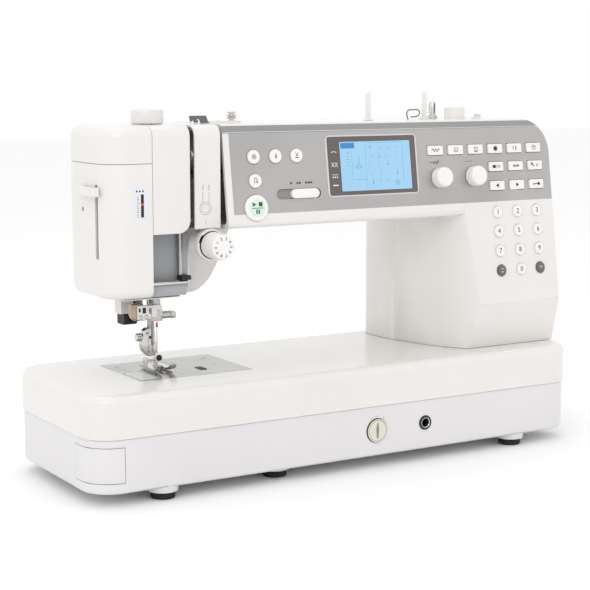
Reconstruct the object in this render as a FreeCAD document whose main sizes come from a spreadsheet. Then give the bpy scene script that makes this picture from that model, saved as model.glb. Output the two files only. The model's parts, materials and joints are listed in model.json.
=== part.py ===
import FreeCAD
import Part
import math
import os
import Sketcher

# Computerised household sewing machine, in millimetres.
# +Z is up, the user sits on the -Y side and the needle is on the -X side.
# Positions are worked out from the middle of the base; frame_x then moves the
# whole machine, so that the base and the hand wheel balance about the origin.

V = FreeCAD.Vector
doc = FreeCAD.newDocument("SewingMachine")

SIZES = {
    # base
    "frame_x": -3.0, "base_length": 464.0, "base_depth": 160.0, "base_corner": 26.0,
    "floor_gap": 10.0, "seam_level": 52.0, "bed_level": 85.0, "bed_round": 7.0,
    "skin": 3.0, "seam_gap": 0.3, "cover_inset": 1.2, "bottom_round": 3.0, "part_gap": 0.3,
    "foot_radius": 9.5, "foot_collar_radius": 12.0, "foot_collar_drop": 4.5,
    # corner door
    "door_edge_x": -204.6, "door_back_y": -45.0, "door_low": 18.3, "door_high": 45.8,
    # front of the base
    "balance_x": 21.2, "balance_level": 31.5, "balance_radius": 9.85,
    "socket_x": 69.6, "socket_level": 32.5, "socket_radius": 5.9, "socket_bore": 3.6,
    "socket_length": 27.0, "socket_bore_length": 22.0,
    # right side of the base
    "inlet_y": 34.0, "inlet_width": 24.0, "inlet_height": 17.0, "inlet_length": 18.0,
    "switch_y": -4.0, "switch_width": 12.0, "switch_height": 20.0, "switch_tilt": 8.0,
    "side_level": 31.0,
    # needle plate and bobbin
    "plate_left": -171.0, "plate_right": -72.0, "plate_front": -36.0, "plate_back": 41.0,
    "plate_thick": 2.0, "needle_x": -140.6, "needle_y": -2.5,
    "hook_x": -154.5, "hook_y": -19.0, "hook_radius": 17.0, "hook_low": 60.0, "hook_high": 78.0,
    "case_radius": 14.8, "bobbin_radius": 10.2, "bobbin_height": 11.6,
    "window_left": -168.0, "window_right": -151.4, "window_front": -31.0, "window_back": 1.5,
    "feed_spread": 6.5, "feed_width": 2.2, "feed_length": 22.0, "feed_rise": 0.9,
    "feed_travel": 2.5,
    # inclined front of the arm and the column
    "knee_level": 124.0, "knee_y": -61.0, "front_slope": 0.145, "skirt_y": -52.0,
    "arm_low": 200.8, "panel_low": 211.5, "panel_high": 275.0, "arm_top": 282.0,
    "arm_left": -94.5, "column_right": 227.5, "arm_back": 46.0, "column_back": 76.0,
    "panel_thick": 2.0, "bevel_inset": 2.2,
    # window, keys and knobs
    "lcd_left": -4.8, "lcd_right": 82.5, "lcd_low": 222.8, "lcd_high": 270.4,
    "round_key_radius": 5.55, "start_key_radius": 10.35, "key_width": 15.5, "key_height": 8.0,
    "key_lift": 1.6, "key_depth": 3.2, "knob_radius": 8.5, "knob_length": 11.0,
    "slider_left": -41.6, "slider_right": -15.2, "slot_left": -55.0, "slot_right": -13.3,
    "slot_level": 226.0, "slot_height": 8.3,
    "pad_key_radius": 5.25, "pad_mark_radius": 4.0,
    # head
    "head_left": -201.0, "head_low": 150.0, "head_front": -43.0, "head_corner": 20.0,
    "seam_cap": 253.5, "face_edge_x": -162.0, "takeup_right": -130.0, "tension_left": -126.0,
    "tension_right": -103.5, "cover_low": 199.0, "head_skin": 2.4,
    "tension_x": -113.0, "tension_level": 189.0, "tension_radius": 10.5, "tension_face_y": -65.0,
    "pressure_x": -145.5, "pressure_y": 0.0, "pressure_radius": 13.0, "pressure_top": 294.0,
    "threader_y": -20.0, "threader_level": 236.0,
    # needle and presser
    "needle_bar_radius": 3.2, "needle_radius": 0.45, "presser_bar_radius": 3.0,
    "presser_y": 9.0, "foot_clearance": 1.9,
    # drive
    "shaft_y": 6.0, "shaft_level": 243.0, "shaft_radius": 5.0,
    "wheel_radius": 27.0, "wheel_right": 238.0, "wheel_inner": 216.0,
    # top of the arm
    "pin_radius": 2.2, "pin_height": 24.0, "spindle_radius": 3.0, "spindle_height": 15.0,
}

sheet = doc.addObject("Spreadsheet::Sheet", "Sizes")
for row, (alias, number) in enumerate(SIZES.items(), start=1):
    sheet.set("A%d" % row, alias.replace("_", " "))
    sheet.set("B%d" % row, str(number))
    sheet.setAlias("B%d" % row, alias)
doc.recompute()

PARTS = []


class Size:
    """A number together with the sheet expression that it comes from."""

    def __init__(self, value, text):
        self.value = value
        self.text = text

    def join(self, other, sign, value):
        return Size(value, "(%s %s %s)" % (self.text, sign, as_size(other).text))

    def __add__(self, other):
        return self.join(other, "+", self.value + as_size(other).value)

    def __sub__(self, other):
        return self.join(other, "-", self.value - as_size(other).value)

    def __mul__(self, other):
        return self.join(other, "*", self.value * as_size(other).value)

    def __truediv__(self, other):
        return self.join(other, "/", self.value / as_size(other).value)

    def __neg__(self):
        return Size(-self.value, "(0 - %s)" % self.text)

    def __radd__(self, other):
        return as_size(other) + self

    def __rsub__(self, other):
        return as_size(other) - self

    def __rmul__(self, other):
        return as_size(other) * self


def as_size(number):
    """Any number as a Size."""
    return number if isinstance(number, Size) else Size(float(number), repr(float(number)))


def S(alias):
    """The Size behind one alias of the sheet."""
    return Size(float(sheet.get(alias)), "Sizes." + alias)


def bind(item, prop, number):
    """Bind one property of an object to its size."""
    item.setExpression(prop, as_size(number).text)


def place(item, x, y, z, axis=None, angle=0.0):
    """Put an object at its place, with x counted from the middle of the base."""
    turn = FreeCAD.Rotation(axis or V(0, 0, 1), angle)
    item.Placement = FreeCAD.Placement(V(0, 0, 0), turn)
    for letter, number in (("x", S("frame_x") + x), ("y", as_size(y)), ("z", as_size(z))):
        item.setExpression("Placement.Base." + letter, number.text)
    return item


def keep(item, label):
    """Register an object as one sub-part of the machine."""
    item.Label = label
    PARTS.append(item)
    return item


# --------------------------------------------------------------- front plane
LEAN = math.degrees(math.atan(S("front_slope").value))


def front_y(level):
    """Depth of the inclined front plane at a level."""
    return S("knee_y") + S("front_slope") * (as_size(level) - S("knee_level"))


def on_front(item, x, level, lift=0.0):
    """Put an object on the inclined front, its own +Z pointing out of the plane."""
    reach = as_size(lift)
    out_y = math.cos(math.radians(LEAN))
    out_z = math.sin(math.radians(LEAN))
    y = front_y(level) - reach * out_y
    z = as_size(level) + reach * out_z
    return place(item, x, y, z, V(1, 0, 0), 90.0 - LEAN)


# ------------------------------------------------------------ PartDesign help
def new_body(label):
    return doc.addObject("PartDesign::Body", label)


def new_sketch(body, name, plane):
    sketch = body.newObject("Sketcher::SketchObject", name)
    support = [item for item in body.Origin.OriginFeatures if item.Role == plane][0]
    sketch.AttachmentSupport = [(support, "")]
    sketch.MapMode = "FlatFace"
    return sketch


def fix(sketch, kind, geometry, point, number):
    """Hold one coordinate of a point at a size; a zero lies on the axis."""
    number = as_size(number)
    if abs(number.value) < 1e-9:
        axis = -2 if kind == "DistanceX" else -1
        sketch.addConstraint(Sketcher.Constraint("PointOnObject", geometry, point, axis))
        return
    index = sketch.addConstraint(Sketcher.Constraint(kind, geometry, point, number.value))
    sketch.setExpression("Constraints[%d]" % index, number.text)


def polygon(sketch, points):
    """Closed outline whose corners are all tied to sizes."""
    points = [(as_size(across), as_size(up)) for across, up in points]
    spots = [V(across.value, up.value, 0) for across, up in points]
    first = sketch.GeometryCount
    for start, end in zip(spots, spots[1:] + spots[:1]):
        sketch.addGeometry(Part.LineSegment(start, end))
    count = len(points)
    for step in range(count):
        after = first + (step + 1) % count
        sketch.addConstraint(Sketcher.Constraint("Coincident", first + step, 2, after, 1))
        fix(sketch, "DistanceX", first + step, 1, points[step][0])
        fix(sketch, "DistanceY", first + step, 1, points[step][1])


def circle(sketch, radius, across=0.0, up=0.0):
    radius, across, up = as_size(radius), as_size(across), as_size(up)
    spot = sketch.addGeometry(Part.Circle(V(across.value, up.value, 0), V(0, 0, 1), radius.value))
    index = sketch.addConstraint(Sketcher.Constraint("Radius", spot, radius.value))
    sketch.setExpression("Constraints[%d]" % index, radius.text)
    if abs(across.value) < 1e-9 and abs(up.value) < 1e-9:
        sketch.addConstraint(Sketcher.Constraint("Coincident", spot, 3, -1, 1))
        return
    fix(sketch, "DistanceX", spot, 3, across)
    fix(sketch, "DistanceY", spot, 3, up)


def rectangle(sketch, left, right, low, high):
    polygon(sketch, [(left, low), (right, low), (right, high), (left, high)])


def pad(body, sketch, length, midplane=False, reverse=False):
    feature = body.newObject("PartDesign::Pad", sketch.Name + "Pad")
    feature.Profile = sketch
    bind(feature, "Length", length)
    feature.Midplane = midplane
    feature.Reversed = reverse
    doc.recompute()
    return feature


def pocket(body, sketch, depth, reverse=False):
    """Cut a sketch into the body, and make sure that it did cut."""
    before = body.Shape.Volume
    feature = body.newObject("PartDesign::Pocket", sketch.Name + "Pocket")
    feature.Profile = sketch
    bind(feature, "Length", depth)
    feature.Reversed = reverse
    doc.recompute()
    if body.Shape.Volume > before - 1e-3:
        raise RuntimeError("pocket %s removed nothing" % sketch.Name)
    return feature


def revolve(body, sketch):
    feature = body.newObject("PartDesign::Revolution", sketch.Name + "Turn")
    feature.Profile = sketch
    feature.ReferenceAxis = (sketch, ["V_Axis"])
    feature.Angle = 360.0
    doc.recompute()
    return feature


def round_edges(body, radius, wanted, kind="Fillet"):
    """Round or bevel the edges of the tip that a test picks."""
    base = body.Tip
    names = ["Edge%d" % (i + 1) for i, edge in enumerate(base.Shape.Edges) if wanted(edge)]
    feature = body.newObject("PartDesign::" + kind, base.Name + kind)
    feature.Base = (base, names)
    bind(feature, "Radius" if kind == "Fillet" else "Size", radius)
    doc.recompute()
    return feature


def upright(edge):
    box = edge.BoundBox
    return box.XLength < 1e-4 and box.YLength < 1e-4 and box.ZLength > 1e-3


def at_level(level):
    """Test for edges that lie flat at one height of their body."""
    def wanted(edge):
        box = edge.BoundBox
        return abs(box.ZMin - level) < 1e-3 and abs(box.ZMax - level) < 1e-3
    return wanted


def turned(label, profile):
    """Round body from a (radius, height) outline about its own Z."""
    body = new_body(label)
    sketch = new_sketch(body, label + "_profile", "XZ_Plane")
    polygon(sketch, profile)
    revolve(body, sketch)
    return body


def block(label, width, depth, height, corner=None):
    """Block centred on its own Z, standing on its own XY plane."""
    body = new_body(label)
    width, depth = as_size(width), as_size(depth)
    sketch = new_sketch(body, label + "_outline", "XY_Plane")
    rectangle(sketch, -width / 2, width / 2, -depth / 2, depth / 2)
    pad(body, sketch, height)
    if corner is not None:
        round_edges(body, corner, upright)
    return body


# ------------------------------------------------------------ primitive help
def box(label, left, right, front, back, low, high):
    """Part box between six limits."""
    item = doc.addObject("Part::Box", label)
    bind(item, "Length", as_size(right) - left)
    bind(item, "Width", as_size(back) - front)
    bind(item, "Height", as_size(high) - low)
    return place(item, left, front, low)


def rod(label, radius, length, x, y, z, axis=None, angle=0.0):
    """Part cylinder from a point along its own Z."""
    item = doc.addObject("Part::Cylinder", label)
    bind(item, "Radius", radius)
    bind(item, "Height", length)
    return place(item, x, y, z, axis, angle)


TO_FRONT = (V(1, 0, 0), 90.0)
TO_RIGHT = (V(0, 1, 0), 90.0)
FACE_RIGHT = (V(1, 1, 1), 120.0)


def fuse(label, items):
    item = doc.addObject("Part::MultiFuse", label)
    item.Shapes = items
    item.Refine = True
    return item


def cut(label, base, tools):
    item = doc.addObject("Part::Cut", label)
    item.Base = base
    item.Tool = tools[0] if len(tools) == 1 else fuse(label + "_tools", tools)
    item.Refine = True
    return item


def common(label, first, second):
    item = doc.addObject("Part::Common", label)
    item.Base = first
    item.Tool = second
    item.Refine = True
    return item


def feature(label, shape):
    """Free-form sub-part whose shape was worked out from the sheet."""
    item = doc.addObject("Part::Feature", label)
    item.Shape = shape
    item.Placement = FreeCAD.Placement(V(S("frame_x").value, 0, 0), FreeCAD.Rotation())
    return keep(item, label)


def num(alias):
    return S(alias).value


# --------------------------------------------------------------------- base
def lower_shell():
    """Hollow tray under the bed, open at the top."""
    inset = S("cover_inset")
    half_x = S("base_length") / 2 - inset
    half_y = S("base_depth") / 2 - inset
    height = S("seam_level") - S("seam_gap") - S("floor_gap")
    body = new_body("lower_shell")
    outer = new_sketch(body, "lower_outer", "XY_Plane")
    rectangle(outer, -half_x, half_x, -half_y, half_y)
    pad(body, outer, height)
    round_edges(body, S("base_corner") - inset, upright)
    round_edges(body, S("bottom_round"), at_level(0.0))
    inner = new_sketch(body, "lower_inner", "XY_Plane")
    inner.AttachmentOffset = FreeCAD.Placement(V(0, 0, height.value), FreeCAD.Rotation())
    inner.setExpression("AttachmentOffset.Base.z", height.text)
    skin = S("skin")
    nick = S("base_corner") * 0.45
    left, right, front, back = skin - half_x, half_x - skin, skin - half_y, half_y - skin
    polygon(inner, [(left + nick, front), (right - nick, front), (right, front + nick),
                    (right, back - nick), (right - nick, back), (left + nick, back),
                    (left, back - nick), (left, front + nick)])
    pocket(body, inner, height - skin)
    return place(body, 0, 0, S("floor_gap"))


def foot_spots():
    """Where the rubber feet stand."""
    return [(-168, -66), (170, -66), (-62, -54), (-168, 66), (170, 66)]


def make_base():
    shell = lower_shell()
    half_x = S("base_length") / 2
    half_y = S("base_depth") / 2
    collars, sinks, feet = [], [], []
    low = S("floor_gap") - S("foot_collar_drop")
    for index, (x, y) in enumerate(foot_spots(), start=1):
        collars.append(rod("collar_%d" % index, S("foot_collar_radius"), S("foot_collar_drop") + 1,
                           x, y, low))
        sinks.append(rod("sink_%d" % index, S("foot_radius") + 0.1, S("foot_collar_drop") - 1, x, y, low))
        feet.append(rod("pad_%d" % index, S("foot_radius"), low + S("foot_collar_drop") - 1, x, y, 0))
    keep(fuse("rubber_feet", feet), "rubber_feet")
    body = fuse("lower_with_collars", [shell] + collars)
    gap = S("part_gap")
    door_hole = box("door_hole", -half_x - 1, S("door_edge_x"), -half_y - 1, S("door_back_y"),
                    S("door_low"), S("door_high"))
    door_block = box("door_block", -half_x - 1, S("door_edge_x") - gap, -half_y - 1,
                     S("door_back_y") - gap, S("door_low") + gap, S("door_high") - gap)
    wall = S("skin") * 2
    dial_hole = rod("dial_hole", S("balance_radius") + gap, wall, S("balance_x"),
                    wall - half_y, S("balance_level"), *TO_FRONT)
    socket_hole = rod("socket_hole", S("socket_radius") + 0.05, wall, S("socket_x"),
                      wall - half_y, S("socket_level"), *TO_FRONT)
    inlet_hole = box("inlet_hole", half_x - wall, half_x + 1, S("inlet_y") - S("inlet_width") / 2 - 0.1,
                     S("inlet_y") + S("inlet_width") / 2 + 0.1,
                     S("side_level") - S("inlet_height") / 2 - 0.1,
                     S("side_level") + S("inlet_height") / 2 + 0.1)
    switch_hole = box("switch_hole", half_x - wall, half_x + 1,
                      S("switch_y") - S("switch_width") / 2 - gap,
                      S("switch_y") + S("switch_width") / 2 + gap,
                      S("side_level") - S("switch_height") / 2 - 0.8,
                      S("side_level") + S("switch_height") / 2 + 0.8)
    keep(cut("base_lower_cover", body, sinks + [door_hole, dial_hole, socket_hole, inlet_hole, switch_hole]),
         "base_lower_cover")
    keep(common("corner_door", shell, door_block), "corner_door")


def make_bed():
    """Glossy upper cover with the needle plate's recess."""
    half_x = S("base_length") / 2
    half_y = S("base_depth") / 2
    height = S("bed_level") - S("seam_level")
    skin = S("skin")
    body = new_body("bed_shell")
    outer = new_sketch(body, "bed_outer", "XY_Plane")
    rectangle(outer, -half_x, half_x, -half_y, half_y)
    pad(body, outer, height)
    round_edges(body, S("base_corner"), upright)
    round_edges(body, S("bed_round"), at_level(height.value))
    inner = new_sketch(body, "bed_inner", "XY_Plane")
    nick = S("base_corner") * 0.5
    left, right, front, back = skin * 2 - half_x, half_x - skin * 2, skin * 2 - half_y, half_y - skin * 2
    polygon(inner, [(left + nick, front), (right - nick, front), (right, front + nick),
                    (right, back - nick), (right - nick, back), (left + nick, back),
                    (left, back - nick), (left, front + nick)])
    pocket(body, inner, height - skin, reverse=True)
    place(body, 0, 0, S("seam_level"))
    gap = S("part_gap")
    recess = box("plate_recess", S("plate_left") - gap, S("plate_right") + gap, S("plate_front") - gap,
                 S("plate_back") + gap, S("bed_level") - S("plate_thick"), S("bed_level") + 1)
    well = box("hook_well", S("plate_left") + 3, S("plate_right") - 3, S("plate_front") + 3,
               S("plate_back") - 3, S("bed_level") - skin - 1, S("bed_level"))
    keep(cut("bed_upper_cover", body, [recess, well]), "bed_upper_cover")


def feed_rows():
    """Offset from the needle, front end and back end of each toothed row."""
    half = S("feed_length") / 2
    spread = S("feed_spread")
    return [(-spread, -half, half), (as_size(0), -half - 3, as_size(-5)), (spread, -half, half)]


def make_needle_plate():
    body = new_body("needle_plate")
    width = S("plate_right") - S("plate_left")
    depth = S("plate_back") - S("plate_front")
    sketch = new_sketch(body, "plate_outline", "XY_Plane")
    rectangle(sketch, 0, width, 0, depth)
    pad(body, sketch, S("plate_thick"))
    round_edges(body, 3, upright)
    holes = new_sketch(body, "plate_holes", "XY_Plane")
    gap = S("part_gap")
    x_of = S("needle_x") - S("plate_left")
    y_of = S("needle_y") - S("plate_front")
    for offset, start, end in feed_rows():
        rectangle(holes, x_of + offset - S("feed_width") / 2 - gap, x_of + offset + S("feed_width") / 2 + gap,
                  y_of + start - S("feed_travel") - gap, y_of + end + S("feed_travel") + gap)
    rectangle(holes, x_of - 4.6, x_of + 4.6, y_of - 1.2, y_of + 1.2)
    rectangle(holes, S("window_left") - S("plate_left") - gap, S("window_right") - S("plate_left") + gap,
              S("window_front") - S("plate_front") - gap, S("window_back") - S("plate_front") + gap)
    pocket(body, holes, S("plate_thick") + 1, reverse=True)
    place(body, S("plate_left"), S("plate_front"), S("bed_level") - S("plate_thick"))
    keep(body, "needle_plate")


def make_hook():
    width = S("window_right") - S("window_left")
    depth = S("window_back") - S("window_front")
    cover = block("hook_cover", width, depth, S("plate_thick"), 1.5)
    place(cover, S("window_left") + width / 2, S("window_front") + depth / 2,
          S("bed_level") - S("plate_thick"))
    keep(cover, "hook_cover")

    low, high, outer = S("hook_low"), S("hook_high"), S("hook_radius")
    tall = high - low
    hook = turned("rotary_hook", [(0, -14), (4, -14), (4, 0), (outer - 2, 0), (outer, 2), (outer, tall),
                                  (outer - 1.6, tall), (outer - 1.6, 1.8), (0, 1.8)])
    notch = new_sketch(hook, "hook_point", "XY_Plane")
    notch.AttachmentOffset = FreeCAD.Placement(V(0, 0, 6), FreeCAD.Rotation())
    rectangle(notch, outer - 4, outer + 1, -5, 5)
    pocket(hook, notch, tall, reverse=True)
    keep(place(hook, S("hook_x"), S("hook_y"), low), "rotary_hook")

    case = S("case_radius")
    ring = turned("bobbin_case", [(0, 0), (case, 0), (case, 15), (case - 3.4, 15), (case - 3.4, 1.4),
                                  (0, 1.4)])
    keep(place(ring, S("hook_x"), S("hook_y"), low + 2.3), "bobbin_case")

    rim, wide = S("bobbin_radius"), S("bobbin_height")
    spool = turned("bobbin", [(3, 0), (rim, 0), (rim, 1), (4.6, 1), (4.6, wide - 1), (rim, wide - 1),
                              (rim, wide), (3, wide)])
    keep(place(spool, S("hook_x"), S("hook_y"), low + 4.2), "bobbin")

    feed = new_body("feed_dog")
    base = new_sketch(feed, "feed_bridge", "XY_Plane")
    half = S("feed_spread") + S("feed_width") / 2
    rectangle(base, -half, half, -12, 12)
    rectangle(base, -5, 5, -8, 4.5)
    pad(feed, base, 2)
    top = S("plate_thick") + S("feed_rise") + 4
    for index, (offset, start, end) in enumerate(feed_rows(), start=1):
        bar = new_sketch(feed, "feed_row_%d" % index, "YZ_Plane")
        shift = offset - S("feed_width") / 2
        bar.AttachmentOffset = FreeCAD.Placement(V(0, 0, shift.value), FreeCAD.Rotation())
        bar.setExpression("AttachmentOffset.Base.z", shift.text)
        polygon(bar, [(start, top - 3), (start, top - 1), (start + 1, top), (end - 1, top),
                      (end, top - 1), (end, top - 3), (end - 1, 1), (-11.5, 1)])
        pad(feed, bar, S("feed_width"))
    keep(place(feed, S("needle_x"), S("needle_y"), S("bed_level") - S("plate_thick") - 4), "feed_dog")


def make_base_fittings():
    half_y = S("base_depth") / 2
    rim = S("balance_radius")
    dial = turned("balance_dial", [(0, 0), (6, 0), (6, 4), (rim, 4), (rim, 10.4), (rim - 0.6, 11), (0, 11)])
    slot = new_sketch(dial, "dial_slot", "XY_Plane")
    slot.AttachmentOffset = FreeCAD.Placement(V(0, 0, 9), FreeCAD.Rotation())
    rectangle(slot, -6, 6, -0.8, 0.8)
    pocket(dial, slot, 3, reverse=True)
    keep(place(dial, S("balance_x"), 11.2 - half_y, S("balance_level"), *TO_FRONT), "balance_dial")

    out, bore = S("socket_radius"), S("socket_bore")
    full, deep = S("socket_length"), S("socket_bore_length")
    socket = turned("knee_lift_socket", [(0, 0), (out, 0), (out, full), (bore + 0.6, full), (bore, full - 0.6),
                                         (bore, full - deep), (0, full - deep)])
    keep(place(socket, S("socket_x"), full + 0.4 - half_y, S("socket_level"), *TO_FRONT), "knee_lift_socket")

    side = S("base_length") / 2 - S("cover_inset")
    inlet = block("power_inlet", S("inlet_width"), S("inlet_height"), S("inlet_length"), 2)
    cavity = new_sketch(inlet, "inlet_cavity", "XY_Plane")
    cavity.AttachmentOffset = FreeCAD.Placement(V(0, 0, S("inlet_length").value), FreeCAD.Rotation())
    cavity.setExpression("AttachmentOffset.Base.z", S("inlet_length").text)
    rectangle(cavity, 2 - S("inlet_width") / 2, S("inlet_width") / 2 - 2,
              2 - S("inlet_height") / 2, S("inlet_height") / 2 - 2)
    pocket(inlet, cavity, S("inlet_length") - 2)
    pins = new_sketch(inlet, "inlet_pins", "XY_Plane")
    for across in (-6, 0, 6):
        circle(pins, 1.2, across, 0)
    pad(inlet, pins, 9)
    place(inlet, side - S("inlet_length"), S("inlet_y"), S("side_level"), *FACE_RIGHT)
    keep(inlet, "power_inlet")

    rocker = new_body("power_switch")
    profile = new_sketch(rocker, "rocker_profile", "YZ_Plane")
    tall = S("switch_height") / 2 - 0.6
    polygon(profile, [(-tall, 1.6), (0, 0), (tall, 1.6), (tall, -4), (5, -8), (-5, -8), (-tall, -4)])
    pad(rocker, profile, S("switch_width"), midplane=True)
    place(rocker, side - 1.7, S("switch_y"), S("side_level"))
    lean = FreeCAD.Rotation(V(0, 1, 0), -S("switch_tilt").value)
    rocker.Placement.Rotation = lean.multiply(FreeCAD.Rotation(*FACE_RIGHT))
    keep(rocker, "power_switch")


# ---------------------------------------------------------- arm and column
def prism(points, low, high, axis):
    """Straight solid over an outline of lines, arcs and curves, along X, Y or Z."""
    face = Part.Face(Part.Wire(points))
    ends = {"x": V(high - low, 0, 0), "y": V(0, high - low, 0), "z": V(0, 0, high - low)}
    moved = {"x": V(low, 0, 0), "y": V(0, low, 0), "z": V(0, 0, low)}
    face.translate(moved[axis])
    return face.extrude(ends[axis])


def lines(spots):
    """Straight edges through a list of points."""
    return [Part.LineSegment(start, end).toShape() for start, end in zip(spots, spots[1:])]


def bend_between(start, corner, end):
    """Round corner: an arc that leaves towards a corner and arrives from it, with equal legs."""
    middle = (start + end) * 0.5
    towards = corner - middle
    reach = (start - corner).Length
    half = (start - end).Length / 2
    radius = reach * half / towards.Length
    centre = middle - towards * (math.sqrt(max(radius * radius - half * half, 0.0)) / towards.Length)
    return Part.Arc(start, centre + (corner - centre) * (radius / (corner - centre).Length), end).toShape()


def rounded(corners):
    """Closed outline through (point, radius) corners, each rounded by its own radius."""
    count = len(corners)
    starts, ends, bends = [], [], []
    for index, (spot, radius) in enumerate(corners):
        before = (corners[index - 1][0] - spot).normalize()
        after = (corners[(index + 1) % count][0] - spot).normalize()
        angle = before.getAngle(after)
        leg = radius / math.tan(angle / 2) if radius else 0.0
        starts.append(spot + before * leg)
        ends.append(spot + after * leg)
        bends.append(bend_between(starts[-1], spot, ends[-1]) if radius else None)
    edges = []
    for index in range(count):
        if bends[index] is not None:
            edges.append(bends[index])
        edges.append(Part.LineSegment(ends[index], starts[(index + 1) % count]).toShape())
    return edges


def side_profile(inset, low, low_round):
    """Front, top and back as seen from the side, moved inward; low is the lower edge's level."""
    top, back = num("arm_top") - inset, num("column_back") + 2 - inset
    high = num("panel_high")
    lean = inset / math.cos(math.radians(LEAN))
    floor = low + inset
    corners = [(V(0, front_y(floor).value + lean, floor), low_round),
               (V(0, front_y(high).value + lean, high), 0),
               (V(0, front_y(high).value + num("bevel_inset") + lean, top), 1.5),
               (V(0, back, top), 8), (V(0, back, floor), low_round)]
    return prism(rounded(corners), -300, 300, "x")


def skirt_profile(inset):
    """Side view of the column: the front leans out down to the knee and back in below it."""
    top, back, knee = num("arm_top") - inset, num("column_back") + 2 - inset, num("knee_level")
    high = num("panel_high")
    lean = inset / math.cos(math.radians(LEAN))
    low = num("bed_level") + (0.3 if inset == 0 else -2)
    corners = [(V(0, num("skirt_y") + inset, low), 0),
               (V(0, num("knee_y") + lean, knee), 4),
               (V(0, front_y(high).value + lean, high), 0),
               (V(0, front_y(high).value + num("bevel_inset") + lean, top), 1.5),
               (V(0, back, top), 8), (V(0, back, low), 0)]
    return prism(rounded(corners), -300, 300, "x")


def front_outline(inset):
    """Arm and column as seen from the front, with the round top right corner."""
    right, top = num("column_right") - inset, num("arm_top") - inset
    left, low = num("head_left") - 10, num("bed_level") - 3
    corners = [(V(left, 0, low), 0), (V(right, 0, low), 0), (V(right, 0, top), 30 - inset),
               (V(left, 0, top), 0)]
    return prism(rounded(corners), -100, 100, "y")


def column_plan(inset):
    """Column seen from above: curved left side, round back corners."""
    back, right, curve = num("column_back") - inset, num("column_right") - inset, 20.0
    spots = [(103, back - curve), (103, 40), (105, 22), (110, 2), (117, -22), (126, -42), (145, -66)]
    side = Part.BSplineCurve()
    side.interpolate([V(x + inset, y, 0) for x, y in spots])
    start, end = V(spots[0][0] + inset, spots[0][1], 0), V(spots[-1][0] + inset, spots[-1][1], 0)
    slack = curve * (1 - math.sqrt(0.5))
    left_bend = Part.Arc(V(start.x + curve, back, 0), V(start.x + slack, back - slack, 0),
                         V(start.x, back - curve, 0)).toShape()
    right_bend = Part.Arc(V(right, back - curve, 0), V(right - slack, back - slack, 0),
                          V(right - curve, back, 0)).toShape()
    edges = [side.toShape()] + lines([end, V(right, end.y, 0), V(right, back - curve, 0)])
    edges += [right_bend] + lines([V(right - curve, back, 0), V(start.x + curve, back, 0)]) + [left_bend]
    return edges


def arm_plan(inset):
    """Arm seen from above; its back bends out to meet the column."""
    back, deep, right = num("arm_back") - inset, num("column_back") - inset, num("column_right") - inset
    left = num("tension_right") + 3.5 - (0 if inset == 0 else 5)
    return rounded([(V(left, -70, 0), 0), (V(right, -70, 0), 0), (V(right, deep, 0), 20),
                    (V(128, deep, 0), 14), (V(94, back, 0), 20), (V(left, back, 0), 0)])


def arm_body(inset):
    """Arm and column as one solid, moved inward by the wall's thickness."""
    low = num("bed_level") + (0.3 if inset == 0 else -2)
    column = prism(column_plan(inset), low, 290, "z").common(skirt_profile(inset))
    arm = prism(arm_plan(inset), num("arm_low") - 5, 290, "z").common(side_profile(inset, num("arm_low"), 4))
    both = column.fuse(arm).common(front_outline(inset)).removeSplitter()
    return soften(both, 8, lambda b: b.YMax < inset - 49 and b.XMin > 120 and b.XMax < 150 + inset
                  and 60 < b.ZLength < 90)


def soften(shape, radius, wanted):
    """Round the edges that a test on their boxes picks, if the result is a sound solid."""
    edges = [edge for edge in shape.Edges if wanted(edge.BoundBox)]
    if not edges:
        return shape
    try:
        softer = shape.makeFillet(radius, edges)
    except Part.OCCError:
        print("could not round", len(edges), "edges by", radius)
        return shape
    if not softer.isValid():
        print("rounding", len(edges), "edges by", radius, "is not sound")
        return shape
    return softer


def head_body(inset):
    """Outer shape of the head, moved inward by the wall's thickness."""
    left, front, back = num("head_left") + inset, num("head_front") + inset, num("arm_back") - inset
    right = num("tension_right") + (0 if inset == 0 else 2)
    low, top = num("head_low") + inset, num("arm_top") - inset
    outline = rounded([(V(left, front, 0), num("head_corner") - inset), (V(right, front, 0), 0),
                       (V(right, back, 0), 0), (V(left, back, 0), 30 - inset)])
    body = prism(outline, low, top, "z")

    def at(level):
        return lambda b: abs(b.ZMin - level) < 0.1 and abs(b.ZMax - level) < 0.1 and b.XMin < right - 1

    return soften(soften(body, 9 - inset, at(top)), 7 - inset, at(low))


def slab(left, right, front, back, low, high):
    """Plain block between six limits, used to divide the covers."""
    return Part.makeBox(right - left, back - front, high - low, V(left, front, low))


def outward(x, level, radius, front=3.0, behind=8.0):
    """Round cutter square to the inclined front."""
    normal = V(0, -math.cos(math.radians(LEAN)), math.sin(math.radians(LEAN)))
    start = V(x, front_y(level).value, level) - normal * behind
    return Part.makeCylinder(radius, front + behind, start, normal)


def outward_block(left, right, low, high, front=3.0, behind=8.0):
    """Block cutter square to the inclined front, between two levels."""
    tilt = math.radians(LEAN)
    tall = (high - low) / math.cos(tilt)
    cutter = Part.makeBox(right - left, tall, front + behind, V(0, 0, -behind))
    cutter.rotate(V(0, 0, 0), V(1, 0, 0), 90.0 - LEAN)
    cutter.translate(V(left, front_y(low).value, low))
    return cutter


FUNCTION_KEYS = [(-73.8, 256.2), (-53.8, 256.2), (-34.3, 256.2), (-73.8, 237.4)]
START_KEY = (-74.6, 216.3)
KNOBS = [("width_knob", 105.4, 233.8), ("length_knob", 141.6, 233.8)]
STITCH_KEYS = [(102.8 + 21.3 * step, 256.8) for step in range(6)]
STITCH_KEYS += [(166.5 + 21.7 * step, level) for level in (241.4, 225.1) for step in range(3)]
PAD_COLUMNS = (165.2, 186.9, 208.4)
PAD_ROWS = (202.3, 185.8, 169.0, 152.0)


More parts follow.
